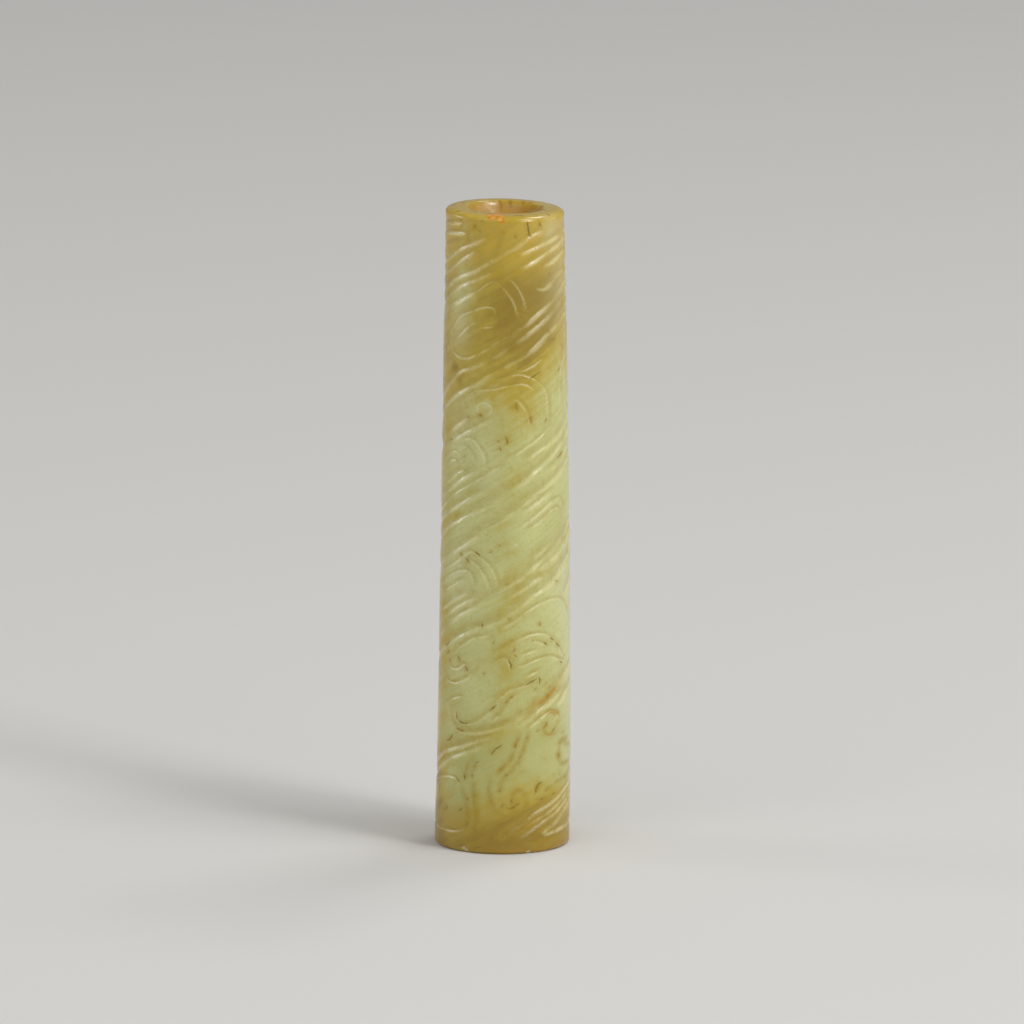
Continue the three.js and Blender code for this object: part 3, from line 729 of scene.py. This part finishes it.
def carve(turns, heights):
    """At each point of the wall: the carving's depth, the tan stain left in it, the pale cream of the painted
    highlight on its lower lips, the golden veins where it is worn flat, and the chips in the foot's edge."""
    depth, tan, lip, vein, chip = (np.zeros_like(turns) for _ in range(5))
    at_side = smooth_step(np.abs(np.sin(np.radians(turns))), *PALE_SIDES)
    for cut, lines in CARVING:
        for points in lines:
            curve, pressures = drawn_line(points, cut.steady, cut.taper)
            for origin, widen in zip(PATTERN_TURNS, PATTERN_WIDTHS):
                reach = widen * cut.upper
                inside, across, up, nearest = near_line(turned(turns, origin), heights, curve, reach)
                pressure = pressures[nearest]
                gap = np.hypot(across, up) / widen + LEAST_GAP
                rise = (across * LIGHT_SIDE[0] + up * LIGHT_SIDE[1]) / widen
                above = (1 + rise / gap) / 2
                width = cut.lower + (cut.upper - cut.lower) * above
                bend = cut.bend + (UPPER_BEND - cut.bend) * above
                side = np.clip(np.hypot(gap / width, LIP_ROUND), 0, 1)
                near = pressure * bell(gap, cut.upper)
                # The pale cream on the lower lips is a painted highlight, stronger towards the sides where
                # the lamps catch them.
                pale = cut.middle_pale + (cut.side_pale - cut.middle_pale) * at_side[inside]
                raise_to(depth, inside, cut.depth * pressure * (1 - side) ** bend)
                raise_to(tan, inside, cut.stain * near * bell(rise / cut.upper - STAIN_RISE, STAIN_REACH))
                raise_to(lip, inside, pale * near * bell(rise + cut.ground, cut.ground))
                if cut is FAINT_CUT:
                    raise_to(vein, inside, pressure * bell(gap, VEIN_REACH))
    for turn, height, half_width, half_height, chip_depth in CHIPS:
        for origin in PATTERN_TURNS:
            off = turned(turns, turn + origin) * ARC_PER_DEGREE
            share = np.clip(1 - (off / half_width) ** 2 - ((heights - height) / half_height) ** 2, 0, 1)
            depth = np.maximum(depth, chip_depth * np.sqrt(share))
            chip = np.maximum(chip, share)
    return depth, tan, lip, vein, chip


def marked(turns, heights, marks, reach):
    """Strength of soft marks at each point of the wall."""
    strength = np.zeros_like(turns)
    for points in marks:
        curve, pressures = drawn_line(points, 0, MARK_TAPER)
        for origin in PATTERN_TURNS:
            inside, across, up, nearest = near_line(turned(turns, origin), heights, curve, 2 * reach)
            raise_to(strength, inside, pressures[nearest] * bell(np.hypot(across, up), reach))
    return strength


def thin_marked(turns, heights, marks):
    """How far to the side of the nearest thin mark each point of the wall lies, and how strong the mark is
    there. The offset changes its sign across the mark, so the mark stays thin between mesh points."""
    gaps = np.full_like(turns, THIN_REACH)
    offset = np.full_like(turns, THIN_REACH)
    strength = np.zeros_like(turns)
    for points in marks:
        curve, pressures = drawn_line(points, 0, MARK_TAPER)
        run = np.gradient(curve, axis=0)
        run /= np.linalg.norm(run, axis=1)[:, None]
        for origin in PATTERN_TURNS:
            inside, across, up, nearest = near_line(turned(turns, origin), heights, curve, THIN_REACH)
            gap = np.hypot(across, up)
            side = up * run[nearest, 0] - across * run[nearest, 1]
            past = across * run[nearest, 0] + up * run[nearest, 1]
            fade = bell(past, THIN_END) * smooth_step(THIN_REACH - gap, 0, THIN_REACH / 2)
            closer = gap < gaps[inside]
            chosen = inside[closer]
            gaps[chosen] = gap[closer]
            offset[chosen] = side[closer]
            strength[chosen] = (pressures[nearest] * fade)[closer]
    return offset, strength


def top_marked(x, y):
    """Strength of the soil on the top ring and in the mouth, seen from above."""
    soil = np.zeros_like(x)
    for points in TOP_MARKS:
        for (x_start, y_start), (x_end, y_end) in zip(points, points[1:]):
            run_x, run_y = x_end - x_start, y_end - y_start
            share = ((x - x_start) * run_x + (y - y_start) * run_y) / (run_x ** 2 + run_y ** 2)
            share = np.clip(share, 0, 1)
            away = np.hypot(x - x_start - share * run_x, y - y_start - share * run_y)
            soil = np.maximum(soil, bell(away, TOP_REACH))
    return soil


def tinted(turns, heights, patches):
    """Strength of a tint at each point of the wall, from its soft patches."""
    strength = np.zeros_like(turns)
    for patch in patches:
        for origin in PATTERN_TURNS:
            off = turned(turns, patch.turn + origin)
            rise = heights - patch.height - patch.lean * off
            strength += patch.strength * bell(off, patch.turn_reach) * bell(rise, patch.height_reach)
    return strength


def toned(heights, runs, base=0.0):
    """Strength of a tone at each height, from its base and its runs."""
    return base + sum(change * smooth_step(heights, start, end) for start, end, change in runs)


Places = namedtuple("Places", "turns heights radii across front on_wall edge_fade")


def orange_stain(places, top_x, top_y, on_top):
    """Strength of the orange stain on the top's front edge."""
    orange = np.zeros_like(top_x)
    for patch in ORANGE_EDGES:
        off, rise = places.turns - patch.turn, places.heights - patch.height
        drip = patch.strength * bell(off, patch.turn_reach) * bell(rise, patch.height_reach)
        orange = np.maximum(orange, drip * (places.radii > CREST_RADIUS))
    for x, y, reach_x, reach_y in ORANGE_BLOTS:
        orange = np.maximum(orange, bell(top_x - x, reach_x) * bell(top_y - y, reach_y) * on_top)
    return orange


def bead_places(mesh):
    """Where each point of the spun tube lies, with its columns drawn to the front and its top lifted out
    of square."""
    points = np.empty(len(mesh.vertices) * 3, np.float32)
    mesh.vertices.foreach_get("co", points)
    x, y, heights = points.reshape(-1, 3).T.astype(float) / MM
    radii = np.hypot(x, y)
    spun_turns = np.arctan2(x, -y)
    turns = np.degrees(spun_turns - FRONT_FINENESS * np.sin(spun_turns))
    across, front = np.sin(np.radians(turns)), -np.cos(np.radians(turns))
    on_wall = radii > CREST_RADIUS + RING_WIDTH
    edge_fade = smooth_step(heights, *FOOT_EDGE_FADE) * smooth_step(WALL_HEIGHT - heights, 0, TOP_EDGE_FADE)
    lift = TOP_LIFT - TOP_TILT * radii * across
    lifted = heights + lift * smooth_step(heights, TOP_LIFT_START, WALL_HEIGHT)
    return Places(turns, lifted, radii, across, front, on_wall, edge_fade)


def cut_wall(mesh, places, depth):
    """Move the wall's points in by the carving's depth, and bow the wall."""
    shallow = 1 - SIDE_SHALLOW * smooth_step(np.abs(places.across), SIDE_SHALLOW_START, 1.0)
    radii = places.radii - depth * places.on_wall * places.edge_fade * shallow
    bow = WALL_BOW * (belly(places.heights / WALL_HEIGHT) - 0.5)
    bow -= FOOT_LEAN * smooth_step(FOOT_LEAN_START - places.heights, 0, FOOT_LEAN_START)
    points = np.stack((radii * places.across + bow, radii * places.front, places.heights), axis=1)
    mesh.vertices.foreach_set("co", (points * MM).astype(np.float32).ravel())
    mesh.update()


def stone_masks(places, tan, lip, vein, chip):
    """Masks for what colours the stone, by name."""
    turns, heights, radii, across, front, on_wall, edge_fade = places
    inside = CREST_RADIUS - radii
    on_top = smooth_step(WALL_HEIGHT - heights, *TOP_DEPTHS)
    top_x, top_y = radii * across, radii * front
    honey = toned(heights - TOP_HONEY_TILT * across, TOP_HONEY) + toned(heights, FOOT_HONEY)
    honey += tinted(turns, heights, HONEY_AND_SHADE_PATCHES) + smooth_step(inside, *MOUTH_HONEY_INSIDE)
    # Honey bands down the left side, partly painted shade
    left_honey_and_shade = toned(heights, LEFT_HONEY_RUNS, LEFT_HONEY_AND_SHADE) * bell(turns - LEFT_HONEY_TURN, LEFT_HONEY_REACH)
    # Deeper towards the foot, and as painted shade down the left side and in the middle of the front
    deep_tone_and_shade = toned(heights, DEEP_RUNS) + smooth_step(-across, *LEFT_PAINTED_SHADE)
    deep_tone_and_shade += MIDDLE_PAINTED_SHADE * bell(turns, MIDDLE_PAINTED_SHADE_REACH)
    halo = HALO_STRENGTH * marked(turns, heights, DARK_MARKS + BROWN_MARKS, HALO_REACH)
    stain = np.maximum(tan * toned(heights, CUT_STAIN_RUNS, CUT_STAIN), halo)
    golden = np.maximum(marked(turns, heights, GOLDEN_MARKS, GOLDEN_REACH), VEIN_STRENGTH * vein)
    # Painted light on the mouth's lit left wall
    pink_painted_light = PINK_STRENGTH * smooth_step(inside, *PINK_INSIDE) * bell(top_x - PINK_CENTRE, PINK_REACH)
    masks = {
        "honey": honey,
        "left_honey_and_shade": left_honey_and_shade * on_wall,
        "deep_tone_and_shade": deep_tone_and_shade,
        "top_tan": toned(heights, TOP_TAN_RUNS),
        "foot_tan": toned(heights, FOOT_TAN_RUNS) * (FOOT_TAN_MIDDLE + FOOT_TAN_TILT * across),
        "foot_shade": toned(heights, FOOT_SHADE_RUNS),
        "tan": stain * on_wall,
        # The lip mask carries the painted highlight on the cuts' lips.
        "lip": lip * on_wall * edge_fade,
        "chip": chip * on_wall,
        "russet": tinted(turns, heights, RUSSET_PATCHES) * on_wall,
        "frost_and_painted_light": tinted(turns, heights, FROST_AND_LIGHT_PATCHES) * on_wall,
        "golden": golden * on_wall,
        "top_soil": top_marked(top_x, top_y) * on_top,
        "orange": orange_stain(places, top_x, top_y, on_top),
        "mouth": smooth_step(inside, *MOUTH_INSIDE),
        "pink_painted_light": pink_painted_light * on_top,
    }
    for name, marks in (("soil", DARK_MARKS), ("brown", BROWN_MARKS), ("pale", PALE_LINES)):
        offset, strength = thin_marked(turns, heights, marks)
        masks[name + "_offset"] = offset
        masks[name + "_strength"] = strength * on_wall
    return masks


def write_rope_grain(mesh, places):
    """Write the wall's places with the rope's twist taken out, for a grain that runs along the rope."""
    untwisted = np.radians(places.turns - places.heights / ROPE_LEAN)
    points = np.stack((places.radii * np.sin(untwisted), places.radii * np.cos(untwisted),
                       ROPE_GRAIN_LENGTH * places.heights), axis=1)
    grain = mesh.attributes.new("rope_grain", "FLOAT_VECTOR", "POINT")
    grain.data.foreach_set("vector", (points * MM).astype(np.float32).ravel())


def carved_bead():
    """The spun tube with its wall carved, and masks for what colours the stone."""
    mesh = spun_tube()
    places = bead_places(mesh)
    depth, *stains = carve(places.turns, places.heights)
    cut_wall(mesh, places, depth)
    write_rope_grain(mesh, places)
    for name, values in stone_masks(places, *stains).items():
        mask = mesh.attributes.new(name, "FLOAT", "POINT")
        mask.data.foreach_set("value", values.astype(np.float32))
    return mesh


class Shading:
    """A material's node tree, with short calls to add and join its nodes."""

    def __init__(self, name):
        self.material = bpy.data.materials.new(name)
        self.material.use_nodes = True
        self.tree = self.material.node_tree
        self.tree.nodes.clear()

    def node(self, kind, **settings):
        made = self.tree.nodes.new(kind)
        for name, value in settings.items():
            setattr(made, name, value)
        return made

    def feed(self, socket, value):
        if isinstance(value, bpy.types.NodeSocket):
            self.tree.links.new(value, socket)
        else:
            socket.default_value = value

    def feed_all(self, made, values):
        for name, value in values.items():
            self.feed(made.inputs[name], value)

    def mask(self, name):
        return self.node("ShaderNodeAttribute", attribute_name=name).outputs["Fac"]

    def noise(self, texture, place=None):
        scale, detail, roughness = texture
        made = self.node("ShaderNodeTexNoise")
        place = place or self.node("ShaderNodeTexCoord").outputs["Object"]
        self.feed_all(made, {"Vector": place, "Scale": scale, "Detail": detail, "Roughness": roughness})
        return made.outputs["Fac"]

    def ramp(self, value, ends):
        low, high, to_low, to_high = ends
        made = self.node("ShaderNodeMapRange", interpolation_type="SMOOTHSTEP")
        self.feed_all(made, {"Value": value, "From Min": low, "From Max": high,
                             "To Min": to_low, "To Max": to_high})
        return made.outputs["Result"]

    def reckon(self, operation, first, second=0.0):
        made = self.node("ShaderNodeMath", operation=operation)
        self.feed(made.inputs[0], first)
        self.feed(made.inputs[1], second)
        return made.outputs[0]

    def plus(self, first, second):
        return self.reckon("ADD", first, second)

    def times(self, first, second):
        return self.reckon("MULTIPLY", first, second)

    def most(self, first, second):
        return self.reckon("MAXIMUM", first, second)

    def thin_line(self, name, ragged, edges):
        """Share of a thin mark, which fades out between two distances from its middle."""
        away = self.plus(self.reckon("ABSOLUTE", self.mask(name + "_offset")), ragged)
        return self.times(self.ramp(away, (*edges, 1.0, 0.0)), self.mask(name + "_strength"))

    def mix(self, share, first, second):
        made = self.node("ShaderNodeMix", data_type="RGBA", clamp_factor=True)
        for place, value in zip(COLOUR_MIX_INPUTS, (share, first, second)):
            self.feed(made.inputs[place], value)
        return made.outputs[COLOUR_MIX_OUTPUT]

    def tint(self, colour, name, tone, strength=1.0):
        """A colour with another tone over it where a mask is strong."""
        return self.mix(self.times(self.mask(name), strength), colour, tone)

    def surface(self, values):
        """Finish the material with a surface of these values."""
        skin = self.node("ShaderNodeBsdfPrincipled")
        self.feed_all(skin, values)
        output = self.node("ShaderNodeOutputMaterial")
        self.feed(output.inputs["Surface"], skin.outputs["BSDF"])
        return self.material


Grains = namedtuple("Grains", "cloud grain fine ragged streak fibre bands broken frayed")


def stone_grains(jade):
    """The stone's grains, from wide clouds to the raggedest, and those that run along the rope."""
    rope_place = jade.node("ShaderNodeAttribute", attribute_name="rope_grain").outputs["Vector"]
    grain = jade.noise(GRAIN_NOISE)
    ragged = jade.noise(RAGGED_NOISE)
    return Grains(
        cloud=jade.noise(CLOUD_NOISE),
        grain=grain,
        fine=jade.noise(FINE_NOISE),
        ragged=ragged,
        streak=jade.noise(STREAK_NOISE, rope_place),
        fibre=jade.noise(FIBRE_NOISE, rope_place),
        bands=jade.ramp(jade.noise(BAND_NOISE, rope_place), BAND_RAMP),
        broken=jade.ramp(grain, BROKEN_RAMP),
        frayed=jade.times(jade.plus(ragged, -NOISE_MIDDLE), FRAY),
    )


def stone_tones(jade, grains):
    """Celadon in the middle and honey at the ends, with the tans of the top, the mouth, the foot and
    the cuts. Some of it is painted shade and light: darker down the left side and in the middle of the front,
    dark gold deep in the mouth, pink on the mouth's lit left wall, and pale frost where the lamps strike."""
    # The deep tone is partly painted shade, down the left side and in the middle of the front.
    deep_tone_and_shade = jade.plus(jade.mask("deep_tone_and_shade"), jade.ramp(grains.cloud, DEEP_CLOUD_RAMP))
    colour = jade.mix(deep_tone_and_shade, CELADON, CELADON_DEEP)
    honey = jade.mask("honey")
    for grain, ramp in ((grains.cloud, HONEY_CLOUD_RAMP), (grains.grain, HONEY_GRAIN_RAMP),
                        (grains.streak, HONEY_STREAK_RAMP)):
        honey = jade.plus(honey, jade.ramp(grain, ramp))
    # Honey bands down the left side, partly painted shade
    honey = jade.plus(honey, jade.times(jade.mask("left_honey_and_shade"), grains.bands))
    colour = jade.mix(jade.ramp(honey, HONEY_RAMP), colour, HONEY)
    colour = jade.mix(jade.ramp(honey, HONEY_DEEP_RAMP), colour, HONEY_DEEP)
    colour = jade.tint(colour, "top_tan", TOP_TAN, grains.broken)
    # Dark gold in the mouth, partly painted shade
    colour = jade.tint(colour, "mouth", MOUTH_GOLD_AND_SHADE, MOUTH_GOLD_AND_SHADE_SHARE)
    colour = jade.tint(colour, "foot_tan", FOOT_TAN, grains.broken)
    # Pink painted light on the mouth's lit left wall
    colour = jade.tint(colour, "pink_painted_light", PINK_PAINTED_LIGHT, grains.broken)
    # Pale frost patches, partly painted light where the lamps strike
    colour = jade.tint(colour, "frost_and_painted_light", FROST_AND_PAINTED_LIGHT)
    colour = jade.tint(colour, "tan", TAN, grains.broken)
    return jade.tint(colour, "foot_shade", FOOT_SHADE)


def highlighted_and_worn_tones(jade, grains, colour):
    """The stone with pale cream painted on its lips as a painted highlight, the shadows of its grain, russet
    stains and golden veins.
    """
    # Pale cream on the lips is a painted highlight, made uneven along them by a noise.
    uneven_highlight = jade.ramp(jade.noise(UNEVEN_HIGHLIGHT_NOISE), UNEVEN_HIGHLIGHT_RAMP)
    lip = jade.plus(jade.times(jade.mask("lip"), uneven_highlight), jade.times(grains.frayed, LIP_FRAY))
    colour = jade.mix(jade.ramp(lip, LIP_RAMP), colour, PAINTED_HIGHLIGHT_CREAM)
    for grain, ramp in ((grains.fine, FINE_SHADOW_RAMP), (grains.grain, GRAIN_SHADOW_RAMP),
                        (grains.fibre, FIBRE_SHADOW_RAMP)):
        colour = jade.mix(jade.ramp(grain, ramp), colour, SHADOW_GRAIN)
    colour = jade.tint(colour, "russet", RUSSET, jade.ramp(grains.grain, RUSSET_RAMP))
    golden = jade.plus(jade.mask("golden"), jade.times(grains.frayed, GOLDEN_FRAY))
    golden = jade.times(jade.ramp(golden, GOLDEN_RAMP), grains.broken)
    return jade.mix(golden, colour, VEIN_GOLD)


def soiled_tones(jade, grains, colour):
    """The stone with its orange stain, scratches, soil and chips, and the share that soil covers."""
    spread = jade.times(jade.plus(grains.grain, -NOISE_MIDDLE), ORANGE_SPREAD)
    stain = jade.ramp(jade.plus(jade.mask("orange"), spread), ORANGE_RAMP)
    orange = jade.mix(jade.ramp(jade.mask("orange"), PALE_ORANGE_RAMP), ORANGE, PALE_ORANGE)
    orange = jade.mix(jade.ramp(grains.fine, ORANGE_FINE_RAMP), orange, ORANGE)
    colour = jade.mix(stain, colour, orange)
    wander = jade.times(grains.frayed, MARK_WANDER)
    scratch = jade.thin_line("pale", wander, PALE_EDGES)
    colour = jade.mix(jade.times(scratch, PALE_SHARE), colour, FROST_AND_PAINTED_LIGHT)
    top_soil = jade.plus(jade.mask("top_soil"), jade.times(spread, TOP_SOIL_SPREAD))
    colour = jade.mix(jade.ramp(jade.plus(top_soil, grains.frayed), TOP_SOIL_RAMP), colour, TOP_SOIL)
    brown = jade.thin_line("brown", wander, BROWN_EDGES)
    colour = jade.mix(jade.times(brown, BROWN_SHARE), colour, BROWN)
    soil = jade.thin_line("soil", wander, SOIL_EDGES)
    colour = jade.mix(soil, colour, SOIL)
    chip = jade.plus(jade.mask("chip"), jade.times(grains.frayed, CHIP_FRAY))
    colour = jade.mix(jade.ramp(chip, CHIP_RAMP), colour, CHIPPED)
    return colour, jade.most(jade.most(soil, brown), stain)


def polished_jade():
    """Translucent celadon stone, honey-coloured at its ends, with tan and russet stains, soil marks, and
    painted light and shade.
    """
    jade = Shading("polished_jade")
    grains = stone_grains(jade)
    colour = highlighted_and_worn_tones(jade, grains, stone_tones(jade, grains))
    colour, soiled = soiled_tones(jade, grains, colour)
    ground = jade.times(jade.mask("lip"), jade.times(jade.plus(grains.fine, grains.ragged), GROUND_BUMP))
    polish = jade.times(jade.plus(grains.grain, grains.fine), POLISH_BUMP)
    bump = jade.node("ShaderNodeBump")
    jade.feed_all(bump, {"Strength": BUMP_STRENGTH, "Distance": BUMP_HEIGHT,
                         "Height": jade.plus(ground, polish)})
    worn_mouth = jade.times(jade.mask("mouth"), MOUTH_ROUGHNESS)
    return jade.surface({
        "Base Color": colour,
        "Roughness": jade.plus(jade.ramp(grains.grain, ROUGHNESS_RAMP), worn_mouth),
        "Normal": bump.outputs["Normal"],
        "IOR": STONE_INDEX,
        "Subsurface Weight": jade.ramp(soiled, GLOW_RAMP),
        "Subsurface Radius": STONE_GLOW_COLOUR,
        "Subsurface Scale": STONE_GLOW_DEPTH,
    })


def pale_floor():
    """A wide matt floor under the bead."""
    shape = bmesh.new()
    bmesh.ops.create_grid(shape, x_segments=1, y_segments=1, size=FLOOR_SIZE / 2)
    mesh = bpy.data.meshes.new("floor")
    shape.to_mesh(mesh)
    shape.free()
    matt = Shading("matt_floor")
    mesh.materials.append(matt.surface({"Base Color": FLOOR_COLOUR, "Roughness": FLOOR_ROUGHNESS}))
    return bpy.data.objects.new("floor", mesh)


def around(azimuth, elevation, distance):
    """A place round the target: azimuth 0 is in front, on the -Y side, and 90 is on the +X side."""
    turn, lift = math.radians(azimuth), math.radians(elevation)
    return TARGET + distance * Vector((math.sin(turn) * math.cos(lift), -math.cos(turn) * math.cos(lift),
                                       math.sin(lift)))


def hang_lamps():
    """Soft lamps round the bead, each facing it."""
    for name, (azimuth, elevation, width, height, card) in LAMPS.items():
        lamp = bpy.data.lights.new(name, "AREA")
        lamp.shape = "RECTANGLE"
        lamp.size = width
        lamp.size_y = height
        lamp.energy = card * math.pi ** 2 * LAMP_DISTANCE ** 2
        hung = bpy.data.objects.new(name, lamp)
        hung.location = around(azimuth, elevation, LAMP_DISTANCE)
        hung.rotation_euler = (hung.location - TARGET).to_track_quat("Z", "Y").to_euler()
        bpy.context.scene.collection.objects.link(hung)


def light_room():
    """Soft even light from a pale room."""
    room = bpy.data.worlds.new("pale_room")
    room.use_nodes = True
    glow = room.node_tree.nodes["Background"]
    glow.inputs["Color"].default_value = ROOM_COLOUR
    glow.inputs["Strength"].default_value = ROOM_LIGHT
    bpy.context.scene.world = room


def set_camera():
    """The picture's camera: a long lens a little above the bead, leaning by its roll."""
    lens = bpy.data.cameras.new("camera")
    lens.sensor_width = SENSOR
    lens.lens = SENSOR * CAMERA_DISTANCE / PICTURE_WIDTH
    lens.shift_x = (PICTURE_PIXELS / 2 - TARGET_PIXEL[0]) / PICTURE_PIXELS
    lens.shift_y = (TARGET_PIXEL[1] - PICTURE_PIXELS / 2) / PICTURE_PIXELS
    lens.clip_end = CAMERA_REACH
    camera = bpy.data.objects.new("camera", lens)
    lift, roll = math.radians(CAMERA_ELEVATION), math.radians(CAMERA_ROLL)
    level = Matrix.Rotation(math.pi / 2 - lift, 4, "X") @ Matrix.Rotation(roll, 4, "Z")
    camera.matrix_world = Matrix.Translation(around(0, CAMERA_ELEVATION, CAMERA_DISTANCE)) @ level
    bpy.context.scene.collection.objects.link(camera)
    bpy.context.scene.camera = camera


bpy.context.scene.view_settings.view_transform = "Standard"
set_camera()
hang_lamps()
light_room()

floor = pale_floor()
bpy.context.scene.collection.objects.link(floor)

bead = bpy.data.objects.new("carved_bead", carved_bead())
bead.data.materials.append(polished_jade())
bpy.context.scene.collection.objects.link(bead)
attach(bead, "root")
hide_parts("jade_tube")
